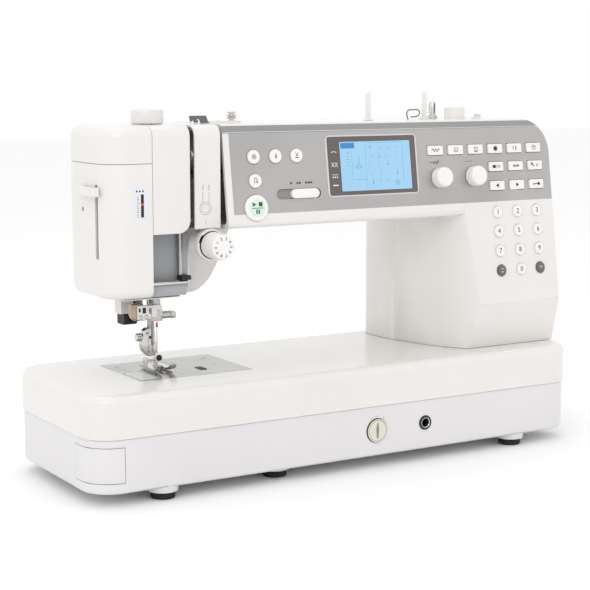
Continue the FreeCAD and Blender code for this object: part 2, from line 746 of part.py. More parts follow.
def panel_holes():
    """Everything that passes through the control panel."""
    gap = num("part_gap")
    holes = [outward(x, level, num("round_key_radius") + gap) for x, level in FUNCTION_KEYS]
    holes.append(outward(START_KEY[0], START_KEY[1], num("start_key_radius") + gap))
    holes += [outward(x, level, 3.3) for _, x, level in KNOBS]
    wide, tall = num("key_width") / 2 + gap, num("key_height") / 2 + gap
    holes += [outward_block(x - wide, x + wide, level - tall, level + tall) for x, level in STITCH_KEYS]
    holes.append(outward_block(num("lcd_left") - 0.1, num("lcd_right") + 0.1,
                               num("lcd_low") - 0.1, num("lcd_high") + 0.1))
    half = num("slot_height") / 2 + gap
    holes.append(outward_block(num("slot_left"), num("slot_right"), num("slot_level") - half,
                               num("slot_level") + half))
    return holes


def make_housing():
    outer, inner = arm_body(0), arm_body(num("skin"))
    shell = outer.cut(inner)
    split_y, seam = 20.0, num("panel_high")
    low, high = num("panel_low"), num("panel_high")
    deep = num("panel_thick") / math.cos(math.radians(LEAN))
    strip = [V(0, front_y(low).value - 1, low), V(0, front_y(low).value + deep, low),
             V(0, front_y(high).value + deep, high - 0.1), V(0, front_y(high).value - 1, high - 0.1)]
    panel = outer.common(prism(lines(strip + strip[:1]), num("arm_left"), 240, "x"))
    wheel = Part.makeCylinder(num("wheel_radius") + 0.8, 30, V(210, num("shaft_y"), num("shaft_level")),
                              V(1, 0, 0))
    front = shell.common(slab(-300, 300, -100, split_y, 80, seam)).cut(panel).cut(wheel)
    window = outward_block(num("arm_left") + 5, 219, low + 6, high - 6, 3, 12)
    start = outward(START_KEY[0], START_KEY[1], num("start_key_radius") + num("part_gap"))
    front = front.cut(window).cut(start)
    pads = [(x, level) for x in PAD_COLUMNS for level in PAD_ROWS]
    front = front.cut([outward(x, level, num("pad_key_radius") + 0.2) for x, level in pads])
    feature("housing_front", front)

    head_shell = head_body(0).cut(head_body(num("head_skin")))
    rear = shell.common(slab(-300, 300, split_y, 100, 80, seam)).cut(wheel)
    head_rear = head_shell.common(slab(num("face_edge_x") + 0.15, num("tension_right"), split_y, 100,
                                       num("arm_low"), seam))
    bridge = slab(num("tension_right") - 0.5, num("tension_right") + 4, num("arm_back") - num("head_skin"),
                  num("arm_back"), num("arm_low"), seam)
    feature("housing_rear", rear.fuse([head_rear, bridge]).removeSplitter())

    top = shell.common(slab(-300, 300, -100, 100, seam + 0.2, 300))
    pins = [Part.makeCylinder(num("pin_radius") + 0.05, 20, V(x, y, 270)) for x, y in SPOOL_PINS]
    pins.append(Part.makeCylinder(num("spindle_radius") + 0.05, 20, V(WINDER[0], WINDER[1], 270)))
    stop = Part.makeCylinder(9, 11, V(WINDER_STOP[0], WINDER_STOP[1], num("arm_top") - 1))
    feature("top_cover", top.cut(pins).fuse(stop).removeSplitter())

    feature("control_panel", panel.cut(panel_holes()).cut(wheel))
    return head_shell


SPOOL_PINS = [(55.5, -11.0), (122.0, 0.5)]
WINDER = (137.0, 9.0)
WINDER_STOP = (147.0, -10.0)
GUIDE = (-76.0, 0.0)


def make_controls():
    window = block("lcd_window", S("lcd_right") - S("lcd_left"),
                   (S("lcd_high") - S("lcd_low")) / math.cos(math.radians(LEAN)), 2.6, 2)
    middle_x = (S("lcd_left") + S("lcd_right")) / 2
    middle_level = (S("lcd_low") + S("lcd_high")) / 2
    keep(on_front(window, middle_x, middle_level, -2.0), "lcd_window")

    lift, deep = S("key_lift"), S("key_depth")
    for index, (x, level) in enumerate(FUNCTION_KEYS, start=1):
        radius = S("round_key_radius")
        key = turned("function_key_%d" % index, [(0, -deep), (radius, -deep), (radius, lift - 0.4),
                                                 (radius - 0.4, lift), (0, lift)])
        keep(on_front(key, x, level), "function_key_%d" % index)
    radius = S("start_key_radius")
    key = turned("start_stop_key", [(0, -deep), (radius, -deep), (radius, lift), (radius - 0.8, lift + 0.8),
                                    (0, lift + 0.8)])
    keep(on_front(key, START_KEY[0], START_KEY[1]), "start_stop_key")

    for index, (x, level) in enumerate(STITCH_KEYS, start=1):
        key = block("stitch_key_%d" % index, S("key_width"), S("key_height"), lift + deep, 1.2)
        keep(on_front(key, x, level, -deep), "stitch_key_%d" % index)

    for name, x, level in KNOBS:
        wide, tall = S("knob_radius"), S("knob_length")
        knob = turned(name, [(0, -6), (3, -6), (3, 0.4), (wide, 0.4), (wide, 1.8), (wide - 0.8, tall - 1),
                             (wide - 1.8, tall), (0, tall)])
        keep(on_front(knob, x, level), name)

    slider = block("speed_slider", S("slider_right") - S("slider_left"), S("slot_height") - 0.6, 4.4, 1)
    keep(on_front(slider, (S("slider_left") + S("slider_right")) / 2, S("slot_level"), -2.6), "speed_slider")

    mat = new_body("number_keypad")
    base = new_sketch(mat, "mat_outline", "XY_Plane")
    rectangle(base, -29, 29, -34, 34)
    pad(mat, base, 1.2)
    caps = new_sketch(mat, "mat_keys", "XY_Plane")
    middle = (PAD_ROWS[0] + PAD_ROWS[-1]) / 2
    for x in PAD_COLUMNS:
        for level in PAD_ROWS:
            mark = level == PAD_ROWS[-1] and x != PAD_COLUMNS[1]
            size = S("pad_mark_radius") if mark else S("pad_key_radius")
            circle(caps, size, x - PAD_COLUMNS[1], (level - middle) / math.cos(math.radians(LEAN)))
    pad(mat, caps, S("skin") + 2.6)
    keep(on_front(mat, PAD_COLUMNS[1], middle, -(S("skin") + 1.4)), "number_keypad")


# --------------------------------------------------------------------- head
def make_head(shell):
    cap_seam, edge, seam = num("seam_cap"), num("face_edge_x"), num("panel_high")
    slot_left, slot_right = num("takeup_right"), num("tension_left")
    face = shell.common(slab(-300, edge - 0.15, -100, 100, 100, cap_seam - 0.15))
    groove = slab(-210, -195, num("threader_y") - 6.5, num("threader_y") - 2, 181,
                  num("threader_level") + 1.5)
    feature("face_cover", face.cut(groove))

    front = -12.0
    cap = shell.common(slab(-300, edge - 0.15, -100, 100, cap_seam + 0.15, 300))
    cap = cap.fuse(shell.common(slab(edge - 1, 0, front + 0.3, 100, seam + 0.2, 300)))
    slots = [slab(slot_left, slot_right, -100, -8, 250, 300)]
    dial = Part.makeCylinder(5.3, 30, V(num("pressure_x"), num("pressure_y"), 265))
    feature("head_cap", cap.cut(slots + [dial]).removeSplitter())

    left, low, high = edge + 0.15, num("cover_low"), 300
    outline = rounded([(V(left, 0, low), 0), (V(slot_left, 0, low), 10), (V(slot_left, 0, high), 0),
                       (V(left, 0, high), 0)])
    feature("take_up_cover", shell.common(prism(outline, -100, front, "y")))
    feature("tension_cover", shell.common(slab(slot_right, num("tension_right"), -100, front, low + 2.7,
                                               high)))

    low, high = num("head_low"), num("arm_low") - 0.3
    curve = Part.BSplineCurve()
    curve.interpolate([V(-119.5, 0, low), V(-110, 0, low + 4), V(-97, 0, low + 21), V(-84, 0, high)])
    outline = [curve.toShape()] + lines([V(-84, 0, high), V(edge + 0.3, 0, high), V(edge + 0.3, 0, low),
                                         V(-119.5, 0, low)])
    frame = prism(outline, -22, 38, "y")
    frame = frame.cut(slab(-157, -124, -16, 32, low + 7, high - 7))
    needle, presser = V(num("needle_x"), num("needle_y"), 100), V(num("needle_x"), num("presser_y"), 100)
    frame = frame.cut([Part.makeCylinder(num("needle_bar_radius") + 0.05, 150, needle),
                       Part.makeCylinder(num("presser_bar_radius") + 0.05, 150, presser)])
    ring_spot = V(num("tension_x"), -45.4, num("tension_level"))
    ring = Part.makeCylinder(9, 25, ring_spot, V(0, 1, 0))
    hole = Part.makeCylinder(3.05, 24, ring_spot, V(0, 1, 0))
    lug = slab(-147.5, -144.5, 15, 25, 134, low + 1)
    pin = Part.makeCylinder(2, 10, V(-154.5, 20, 140), V(1, 0, 0))
    feature("head_frame", frame.fuse([ring, lug, pin]).cut(hole).removeSplitter())


def make_needle_parts():
    bar = turned("bar_rod", [(0, 0), (4.8, 0), (4.8, 9), (S("needle_bar_radius"), 9.5),
                             (S("needle_bar_radius"), 136), (0, 136)])
    place(bar, S("needle_x"), S("needle_y"), 126)
    screw = rod("bar_screw", 3.0, 12, S("needle_x"), S("needle_y"), 130, *TO_RIGHT)
    sink = rod("bar_sink", 1.02, 14, S("needle_x"), S("needle_y"), 125)
    keep(cut("needle_bar", fuse("bar_with_screw", [bar, screw]), [sink]), "needle_bar")
    thin = S("needle_radius")
    needle = turned("needle", [(0, 0), (thin, 3), (thin, 24), (1, 27), (1, 40), (0, 40)])
    keep(place(needle, S("needle_x"), S("needle_y"), 98), "needle")

    ankle_low = S("bed_level") + 9
    thick = S("presser_bar_radius")
    post = rod("presser_rod", thick, 145, S("needle_x"), S("presser_y"), ankle_low + 14)
    grip = box("ankle", S("needle_x") - 4.5, S("needle_x") + 4.5, S("presser_y") - 3.5, S("presser_y") + 4.5,
               ankle_low, 119)
    thumb = rod("thumb_screw", 4.2, 9, S("needle_x") - 15, S("presser_y"), 111, *TO_RIGHT)
    stem = rod("thumb_stem", 1.8, 7, S("needle_x") - 7, S("presser_y"), 111, *TO_RIGHT)
    keep(fuse("presser_bar", [post, grip, thumb, stem]), "presser_bar")

    sole = new_body("presser_foot")
    low = S("foot_clearance") + S("bed_level")
    plate = new_sketch(sole, "sole_outline", "XY_Plane")
    polygon(plate, [(-9.5, -14), (-7, -17.5), (-2, -17.5), (-2, -8), (2, -8), (2, -17.5), (7, -17.5),
                    (9.5, -14), (9.5, 11), (7, 13), (-7, 13), (-9.5, 11)])
    rectangle(plate, -4.2, 4.2, -5, 4.6)
    pad(sole, plate, 2.2)
    for index, left in enumerate((-6.8, 4.6), start=1):
        ear = new_sketch(sole, "sole_ear_%d" % index, "YZ_Plane")
        ear.AttachmentOffset = FreeCAD.Placement(V(0, 0, left), FreeCAD.Rotation())
        polygon(ear, [(6.5, 1), (15, 1), (14, 8), (8.5, 8)])
        pad(sole, ear, 1.8)
    pin = new_sketch(sole, "sole_pin", "YZ_Plane")
    circle(pin, 1.2, 11, 5)
    pad(sole, pin, 13, midplane=True)
    keep(place(sole, S("needle_x"), S("needle_y"), low), "presser_foot")

    arm = box("lifter_arm", -152.5, -148, 15.5, 24.5, 122, 145)
    grip = box("lifter_grip", -166, -148, 22, 44, 119, 128)
    eye = rod("lifter_eye", 2.06, 8, -154, 20, 140, *TO_RIGHT)
    keep(cut("lifter_lever", fuse("lifter_solid", [arm, grip]), [eye]), "lifter_lever")

    lip = box("threader_lip", -206.5, -201.6, S("threader_y") - 12, S("threader_y") + 20,
              S("threader_level") - 7, S("threader_level"))
    stem = box("threader_stem", -203, -188, S("threader_y") - 6.1, S("threader_y") - 2.4,
               S("threader_level") - 7, S("threader_level"))
    keep(fuse("threader_lever", [lip, stem]), "threader_lever")

    lever = new_body("take_up_lever")
    side = new_sketch(lever, "lever_outline", "YZ_Plane")
    polygon(side, [(4, -4), (4, 4), (-27, 34), (-34, 35), (-38, 31), (-33, 27), (-4, -4)])
    circle(side, 2, 0, 0)
    circle(side, 1.4, -34, 31)
    pad(lever, side, 2, midplane=True)
    keep(place(lever, (S("takeup_right") + S("tension_left")) / 2, -6, 228), "take_up_lever")


def make_dials():
    wide = S("tension_radius")
    length = 19
    knob = turned("tension_dial", [(0, -17), (3, -17), (3, 0.4), (wide - 0.5, 0.4), (wide, 1), (wide, length - 1.5),
                                   (wide - 1.5, length), (0, length)])
    keep(place(knob, S("tension_x"), S("tension_face_y") + length, S("tension_level"), *TO_FRONT),
         "tension_dial")
    wide = S("pressure_radius")
    tall = S("pressure_top") - S("arm_top")
    dial = turned("pressure_dial", [(0, -5), (5, -5), (5, 0.3), (wide, 0.3), (wide, tall - 1), (wide - 1, tall),
                                    (0, tall)])
    keep(place(dial, S("pressure_x"), S("pressure_y"), S("arm_top")), "pressure_dial")

    rim = S("wheel_radius")
    thick = S("wheel_right") - S("wheel_inner")
    bore = S("shaft_radius") + 0.05
    wheel = turned("handwheel", [(bore, 0), (rim - 6, 0), (rim, 3), (rim, thick - 3), (rim - 3, thick),
                                 (rim - 6, thick), (rim - 9, thick - 3), (bore, thick - 3)])
    keep(place(wheel, S("wheel_inner"), S("shaft_y"), S("shaft_level"), *TO_RIGHT), "handwheel")
    thin = S("shaft_radius")
    end = S("wheel_right") - 1 + 124
    shaft = turned("main_shaft", [(0, 0), (14, 0), (14, 6), (thin, 6), (thin, end), (0, end)])
    keep(place(shaft, -124, S("shaft_y"), S("shaft_level"), *TO_RIGHT), "main_shaft")


def make_top():
    base = S("arm_top")
    for name, (x, y) in zip(("spool_pin_left", "spool_pin_right"), SPOOL_PINS):
        thin, tall = S("pin_radius"), S("pin_height")
        pin = turned(name, [(0, -3), (thin, -3), (thin, 0), (thin + 2, 0), (thin + 2, 1), (thin, 1.5),
                            (thin, tall - 1), (thin - 1, tall), (0, tall)])
        keep(place(pin, x, y, base), name)
    thin, tall = S("spindle_radius"), S("spindle_height")
    spindle = turned("winder_spindle", [(0, -12), (thin, -12), (thin, 0.3), (8, 0.3), (8, 2), (thin, 2.4),
                                        (thin, tall - 1), (thin - 1, tall), (0, tall)])
    keep(place(spindle, WINDER[0], WINDER[1], base), "winder_spindle")

    plate = block("guide_plate", 29, 14, 1.2, 6.5)
    place(plate, GUIDE[0], GUIDE[1], base)
    post = rod("guide_post", 1.5, 9, GUIDE[0] + 6, GUIDE[1], base)
    disc = rod("guide_disc", 4.5, 2.4, GUIDE[0] + 6, GUIDE[1], base + 4)
    foot = rod("guide_base", 3.2, 2.5, GUIDE[0] + 6, GUIDE[1], base + 1)
    hook_post = rod("hook_post", 1.2, 7, GUIDE[0] - 17, GUIDE[1], base)
    hook_bar = box("hook_bar", GUIDE[0] - 29, GUIDE[0] - 16, GUIDE[1] - 1.2, GUIDE[1] + 1.2,
                   base + 5, base + 7)
    keep(fuse("thread_guide", [plate, post, disc, foot, hook_post, hook_bar]), "thread_guide")


make_base()
make_bed()
make_needle_plate()
make_hook()
make_base_fittings()
HEAD_SHELL = make_housing()
make_controls()
make_head(HEAD_SHELL)
make_needle_parts()
make_dials()
make_top()
doc.recompute()

for item in doc.Objects:
    if {"Invalid", "Error"} & set(item.State):
        raise RuntimeError("%s did not build" % item.Label)
for item in PARTS:
    if item.Shape.isNull() or not item.Shape.isValid():
        raise RuntimeError("%s is not a valid shape" % item.Label)

os.makedirs("parts", exist_ok=True)
for item in PARTS:
    item.Shape.exportStep("parts/%s.step" % item.Label)
    box_of = item.Shape.BoundBox
    print("%-18s solids %d  volume %9.1f  x %.1f..%.1f y %.1f..%.1f z %.1f..%.1f" % (
        item.Label, len(item.Shape.Solids), item.Shape.Volume, box_of.XMin, box_of.XMax, box_of.YMin,
        box_of.YMax, box_of.ZMin, box_of.ZMax))
print(len(PARTS), "sub-parts")
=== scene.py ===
"""Looks of a computerised household sewing machine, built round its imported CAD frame.

Lengths are in metres in the frame's own axes: +X runs along the arm to the hand wheel, -Y faces the
person sewing and +Z is up. Helper values that say mm are millimetres from the middle of the base.
"""

import json
import logging
import math
from dataclasses import dataclass, field
from enum import Enum
from typing import ClassVar, Iterable, Sequence

import bmesh
import bpy
from mathutils import Euler, Matrix, Vector


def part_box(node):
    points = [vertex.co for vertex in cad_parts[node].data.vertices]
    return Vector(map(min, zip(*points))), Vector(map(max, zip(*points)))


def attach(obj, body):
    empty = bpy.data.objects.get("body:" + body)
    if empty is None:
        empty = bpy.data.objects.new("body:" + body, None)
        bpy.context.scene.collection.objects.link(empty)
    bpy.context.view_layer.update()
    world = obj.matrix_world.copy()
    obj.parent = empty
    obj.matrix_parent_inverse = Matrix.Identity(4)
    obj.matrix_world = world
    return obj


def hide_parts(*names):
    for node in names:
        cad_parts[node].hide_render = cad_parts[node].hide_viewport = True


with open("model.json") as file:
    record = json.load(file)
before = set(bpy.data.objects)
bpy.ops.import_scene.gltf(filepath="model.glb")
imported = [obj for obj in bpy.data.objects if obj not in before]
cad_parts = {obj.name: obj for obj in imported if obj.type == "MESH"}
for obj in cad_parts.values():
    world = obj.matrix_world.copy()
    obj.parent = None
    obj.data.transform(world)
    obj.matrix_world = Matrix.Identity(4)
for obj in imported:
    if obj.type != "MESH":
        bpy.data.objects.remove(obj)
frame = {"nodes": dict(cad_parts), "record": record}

logging.basicConfig(level=logging.INFO, format="%(message)s")
log = logging.getLogger("sewing_machine")

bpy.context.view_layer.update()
MM = 0.001
# The frame's middle lies 3 mm right of the base's middle.
BASE_SHIFT = -3.0
# The front of arm and column leans back from a line low on the column.
FRONT_SLOPE = 0.145
KNEE_Y, KNEE_LEVEL = -61.0, 124.0
LEAN = math.atan(FRONT_SLOPE)

# Edges over this many degrees stay sharp in the shading.
SHARP_EDGE = 35.0
# Corners closer than this many metres are one corner.
WELD_GAP = 2e-6
# How far in millimetres a print reaches into the surface under it.
PRINT_SINK = 0.05
# Type size that gives numerals one unit tall.
TYPE_SIZE = 1.38

Point = tuple[float, float, float]
Flat = tuple[float, float]
Outline = Sequence[Flat]


# ------------------------------------------------------------------------------------------------
# Places
# ------------------------------------------------------------------------------------------------
def place(x: float, y: float, z: float) -> Vector:
    """A point given in millimetres from the middle of the base.

    Args:
        x: Along the arm, towards the hand wheel.
        y: Away from the person sewing.
        z: Above the table.

    Returns:
        The same point in the frame, in metres.
    """
    return Vector(((x + BASE_SHIFT) * MM, y * MM, z * MM))


def front_y(level: float) -> float:
    """Depth in millimetres of the inclined front of the arm and column at a level."""
    return KNEE_Y + FRONT_SLOPE * (level - KNEE_LEVEL)


def on_front(x: float, level: float, lift: float = 0.0) -> Matrix:
    """Frame on the inclined front, whose own +Z points out of it and whose +Y points up it.

    Args:
        x: Along the arm, in millimetres from the middle of the base.
        level: Height above the table in millimetres.
        lift: Distance out of the surface in millimetres.

    Returns:
        The matrix that carries a flat piece onto the front.
    """
    outward = Vector((0.0, -math.cos(LEAN), math.sin(LEAN)))
    spot = place(x, front_y(level), level) + outward * (lift * MM)
    return Matrix.Translation(spot) @ Matrix.Rotation(math.pi / 2 - LEAN, 4, "X")


def facing(spot: Vector, direction: Vector) -> Matrix:
    """Frame at a spot whose own +Z points along a direction."""
    return Matrix.Translation(spot) @ direction.to_track_quat("Z", "Y").to_matrix().to_4x4()


def facing_front(x: float, y: float, z: float) -> Matrix:
    """Frame that looks straight at the person sewing, its +Y up, placed in millimetres."""
    return Matrix.Translation(place(x, y, z)) @ Matrix.Rotation(math.pi / 2, 4, "X")


def facing_right(x: float, y: float, z: float) -> Matrix:
    """Frame that looks to the hand wheel's end, its +X to the back and its +Y up, placed in millimetres."""
    turn = Matrix.Rotation(math.pi / 2, 4, "Z") @ Matrix.Rotation(math.pi / 2, 4, "X")
    return Matrix.Translation(place(x, y, z)) @ turn


def upright(x: float, y: float, z: float) -> Matrix:
    """Frame with the machine's own directions at a place given in millimetres."""
    return Matrix.Translation(place(x, y, z))


def raised(where: Matrix, height: float) -> Matrix:
    """The same frame moved along its own +Z, in millimetres."""
    return where @ Matrix.Translation((0.0, 0.0, height * MM))


# ------------------------------------------------------------------------------------------------
# Finishes
# ------------------------------------------------------------------------------------------------
def linear(code: str) -> tuple[float, float, float, float]:
    """Turn an sRGB hex colour into a linear one.

    Args:
        code: Six hex digits.

    Returns:
        Linear red, green and blue, and an alpha of 1.
    """
    channels = [int(code[start:start + 2], 16) / 255 for start in (0, 2, 4)]
    red, green, blue = (c / 12.92 if c <= 0.04045 else ((c + 0.055) / 1.055) ** 2.4 for c in channels)
    return (red, green, blue, 1.0)


def add_node(tree: bpy.types.NodeTree, kind: str, settings: dict[str, object] | None = None,
             links: dict[str, bpy.types.NodeSocket] | None = None) -> bpy.types.Node:
    """Add one shader node.

    Args:
        tree: The material's node tree.
        kind: The node's type, such as ShaderNodeTexNoise.
        settings: Attribute names or input names with their values.
        links: Input names with the sockets that feed them.

    Returns:
        The new node.
    """
    node = tree.nodes.new(kind)
    for name, value in (settings or {}).items():
        if name in node.inputs:
            node.inputs[name].default_value = value
        else:
            setattr(node, name, value)
    for name, source in (links or {}).items():
        tree.links.new(source, node.inputs[name])
    return node


class Surface(Enum):
    """How a piece's surface was made."""

    MOULDED = "moulded"
    BRUSHED = "brushed"
    POLISHED = "polished"
    PRINTED = "printed"
    CLEAR = "clear"
    RUBBER = "rubber"


@dataclass(frozen=True)
class Finish:
    """One material: what it is, its colour and how its surface was made.

    The grain of a real mould, plating or grinding is 0.02 to 0.1 mm, too fine to show at this size, so
    grain_mm draws it as coarse as 0.5 to 0.8 mm with a very shallow bump.
    """

    DRIFTS_PER_METRE: ClassVar[float] = 9.0
    ROUGHNESS_SPREAD: ClassVar[float] = 0.06
    RELIEF_DEPTH: ClassVar[float] = 0.0002
    COAT_ROUGHNESS: ClassVar[float] = 0.08
    BRUSH_STRETCH: ClassVar[float] = 0.04

    title: str
    colour: str
    surface: Surface = Surface.MOULDED
    second: str | None = None
    roughness: float = 0.35
    metallic: float = 0.0
    ior: float = 1.5
    coat: float = 0.0
    grain_mm: float = 0.8
    bump: float = 0.04
    glow: float = 0.0
    clearness: float = 0.0

    def build(self) -> bpy.types.Material:
        """Make the material once and then share it.

        Returns:
            The Blender material.
        """
        known = bpy.data.materials.get(self.title)
        if known is not None:
            return known
        material = bpy.data.materials.new(self.title)
        material.use_nodes = True
        tree = material.node_tree
        shader = tree.nodes["Principled BSDF"]
        shader.inputs["Metallic"].default_value = self.metallic
        if not self.metallic:
            shader.inputs["IOR"].default_value = self.ior
        shader.inputs["Coat Weight"].default_value = self.coat
        shader.inputs["Coat Roughness"].default_value = self.COAT_ROUGHNESS
        where = add_node(tree, "ShaderNodeTexCoord").outputs["Object"]
        self.paint(tree, shader, where)
        self.relief(tree, shader, where)
        if self.glow:
            shader.inputs["Emission Color"].default_value = linear(self.colour)
            shader.inputs["Emission Strength"].default_value = self.glow
        if self.surface is Surface.CLEAR:
            shader.inputs["Transmission Weight"].default_value = self.clearness
        return material

    def paint(self, tree: bpy.types.NodeTree, shader: bpy.types.Node, where: bpy.types.NodeSocket) -> None:
        """Colour that drifts a little over the piece, as pigment does in a moulding.

        Args:
            tree: The material's node tree.
            shader: Its principled shader.
            where: Object coordinates.
        """
        drift = add_node(tree, "ShaderNodeTexNoise", {"Scale": self.DRIFTS_PER_METRE, "Detail": 2.0},
                         {"Vector": where})
        ramp = add_node(tree, "ShaderNodeValToRGB", {}, {"Fac": drift.outputs["Fac"]})
        ramp.color_ramp.elements[0].position = 0.3
        ramp.color_ramp.elements[1].position = 0.7
        ramp.color_ramp.elements[0].color = linear(self.second or self.colour)
        ramp.color_ramp.elements[1].color = linear(self.colour)
        tree.links.new(ramp.outputs["Color"], shader.inputs["Base Color"])

    def relief(self, tree: bpy.types.NodeTree, shader: bpy.types.Node, where: bpy.types.NodeSocket) -> None:
        """Fine roughness and bump for the way the surface was made.

        Args:
            tree: The material's node tree.
            shader: Its principled shader.
            where: Object coordinates.
        """
        along = self.BRUSH_STRETCH if self.surface is Surface.BRUSHED else 1.0
        mapped = add_node(tree, "ShaderNodeMapping", {"Scale": (along, 1.0, 1.0)}, {"Vector": where})
        grain = add_node(tree, "ShaderNodeTexNoise", {"Scale": 1000.0 / self.grain_mm, "Detail": 3.0},
                         {"Vector": mapped.outputs["Vector"]})
        reach = {"To Min": max(self.roughness - self.ROUGHNESS_SPREAD, 0.02),
                 "To Max": self.roughness + self.ROUGHNESS_SPREAD}
        rough = add_node(tree, "ShaderNodeMapRange", reach, {"Value": grain.outputs["Fac"]})
        tree.links.new(rough.outputs["Result"], shader.inputs["Roughness"])
        bump = add_node(tree, "ShaderNodeBump", {"Strength": self.bump, "Distance": self.RELIEF_DEPTH},
                        {"Height": grain.outputs["Fac"]})
        tree.links.new(bump.outputs["Normal"], shader.inputs["Normal"])


# Glossy injection-moulded ABS: warm white with soft, clear highlights.
SHELL_ABS = Finish("moulded_abs_warm_white", "e6e3e0", second="e2dfdc", roughness=0.24, coat=0.25, ior=1.53)
# The lower cover is the same ABS from a finely etched mould, so it is a little cooler and duller.
BASE_ABS = Finish("etched_abs_cool_white", "e0dedf", second="dcdadc", roughness=0.38, ior=1.53, bump=0.08)
# Lacquered silver on the control panel: a satin, faintly clouded metal look.
PANEL_SILVER = Finish("lacquered_silver_panel", "b9b6b6", second="a8a5a5", roughness=0.34, metallic=0.55,
                      grain_mm=0.5)
# The bevel above the panel is the same lacquer, one shade darker: painted shade of the sloping bevel and of
# the rims round the function keys.
PAINTED_SHADE_SILVER = Finish("silver_lacquer_painted_shade", "9b9a9b", second="939294", roughness=0.36, metallic=0.5)
# Tinted acrylic with a printed back: dark, flat and glossy.
TINTED_ACRYLIC = Finish("tinted_acrylic_window", "5a5252", roughness=0.12, ior=1.49, coat=0.5, bump=0.0)
# Back-lit liquid crystal glass: pale blue and evenly lit.
LCD_GLASS = Finish("backlit_lcd_glass", "97c3df", second="8fbddb", roughness=0.22, glow=0.12, bump=0.0)
# Segments of the display: a deeper blue that glows as much as the glass round them.
LCD_INK = Finish("lcd_segment_ink", "3f7fb4", surface=Surface.PRINTED, roughness=0.4, glow=0.12)
LCD_DARK = Finish("lcd_tab_ink", "2f7fb5", surface=Surface.PRINTED, roughness=0.4, glow=0.15)
# Satin key tops in hard white plastic.
KEY_ABS = Finish("satin_key_abs", "efedeb", second="ebe9e7", roughness=0.34, grain_mm=0.5)
# Translucent pale green lens of the start key, lit from behind.
GREEN_LENS = Finish("pale_green_lens", "d3e6d7", second="cde2d2", roughness=0.3, glow=0.05)
# Pad-printing inks and paints: thin, flat and nearly matt.
GREEN_INK = Finish("dark_green_ink", "2f5a3c", surface=Surface.PRINTED, roughness=0.5)
# The black also fills screw slots as painted shade.
BLACK_INK_AND_PAINTED_SHADE = Finish("black_print_and_painted_shade", "2b2a2b", surface=Surface.PRINTED, roughness=0.5)
# The grey also draws slots, creases, grooves and moulded relief as painted shade.
GREY_INK_AND_PAINTED_SHADE = Finish("grey_print_and_painted_shade", "8d8b8c", surface=Surface.PRINTED, roughness=0.5)
WHITE_INK = Finish("white_pad_print", "e9e8e8", surface=Surface.PRINTED, roughness=0.5)
RED_INK = Finish("red_pointer_paint", "cf4a3c", surface=Surface.PRINTED, roughness=0.45)
# Ground and hardened steel of bars, plate and feed dog.
GROUND_STEEL = Finish("ground_steel", "c4c3c2", second="b4b3b2", surface=Surface.BRUSHED, roughness=0.28,
                      metallic=1.0, grain_mm=0.6, bump=0.1)
# Nickel-plated small parts: bright with dark reflections.
NICKEL = Finish("nickel_plate", "d9d7d4", second="c9c7c4", surface=Surface.POLISHED, roughness=0.14,
                metallic=1.0, bump=0.02)
# The threader's body is nickel with a warm, worn tint.
WARM_NICKEL = Finish("warm_nickel_plate", "b8a795", second="a08f7e", surface=Surface.POLISHED, roughness=0.2,
                     metallic=1.0, bump=0.02)
# Grey enamelled die casting of the head frame.
GREY_ENAMEL = Finish("grey_enamel_casting", "a9abaf", second="9fa1a5", roughness=0.42, bump=0.1)
# Black nylon of handles, stops and whatever lies deep inside: dull, with a soft broad highlight. Thin sheets
# and prints of it in gaps, slots, notches and holes are painted shade.
BLACK_NYLON_AND_PAINTED_SHADE = Finish("black_nylon_and_painted_shade", "1b1a1b", roughness=0.5)
# Brown-grey moulded ABS of the two dark keys.
DARK_KEY = Finish("brown_grey_key_abs", "6d6263", roughness=0.35)
# Acetal of the balance dial: creamy and waxy beside the white covers.
CREAM_ABS = Finish("cream_acetal", "dedacb", second="d6d2c2", roughness=0.4)
# Moulded rubber feet: matt black with a coarse bloom.
FOOT_RUBBER = Finish("black_rubber", "161617", surface=Surface.RUBBER, roughness=0.75, bump=0.25)
# Cast acrylic, half clear and a little milky, so the hook is only guessed under it.
CLEAR_ACRYLIC = Finish("frosted_clear_acrylic", "edf1ef", surface=Surface.CLEAR, roughness=0.16, ior=1.49,
                       bump=0.0, clearness=0.35)
# Grey ABS strip that slides under the speed slot.
GREY_SLOT = Finish("grey_slot_abs", "8f8b88", roughness=0.5)
# The same lacquer as the panel, painted lighter as a painted highlight on rounded edges.
PAINTED_HIGHLIGHT_SILVER = Finish("silver_lacquer_painted_highlight", "d2d1d1", roughness=0.3, metallic=0.35, grain_mm=0.5)
# Black nickel on sheet and wire guides: a dark mirror.
DARK_METAL = Finish("dark_nickel", "8b8b8d", second="6a6a6c", surface=Surface.POLISHED, roughness=0.25,
                    metallic=1.0)
# Seamless paper under the machine: flat and almost white.
STUDIO_PAPER = Finish("studio_paper", "fafafa", roughness=0.8, bump=0.0)
# Polyester label film: pale, smooth and slightly blue.
LABEL_FILM = Finish("pale_grey_label_film", "dfe2e8", surface=Surface.PRINTED, roughness=0.3)


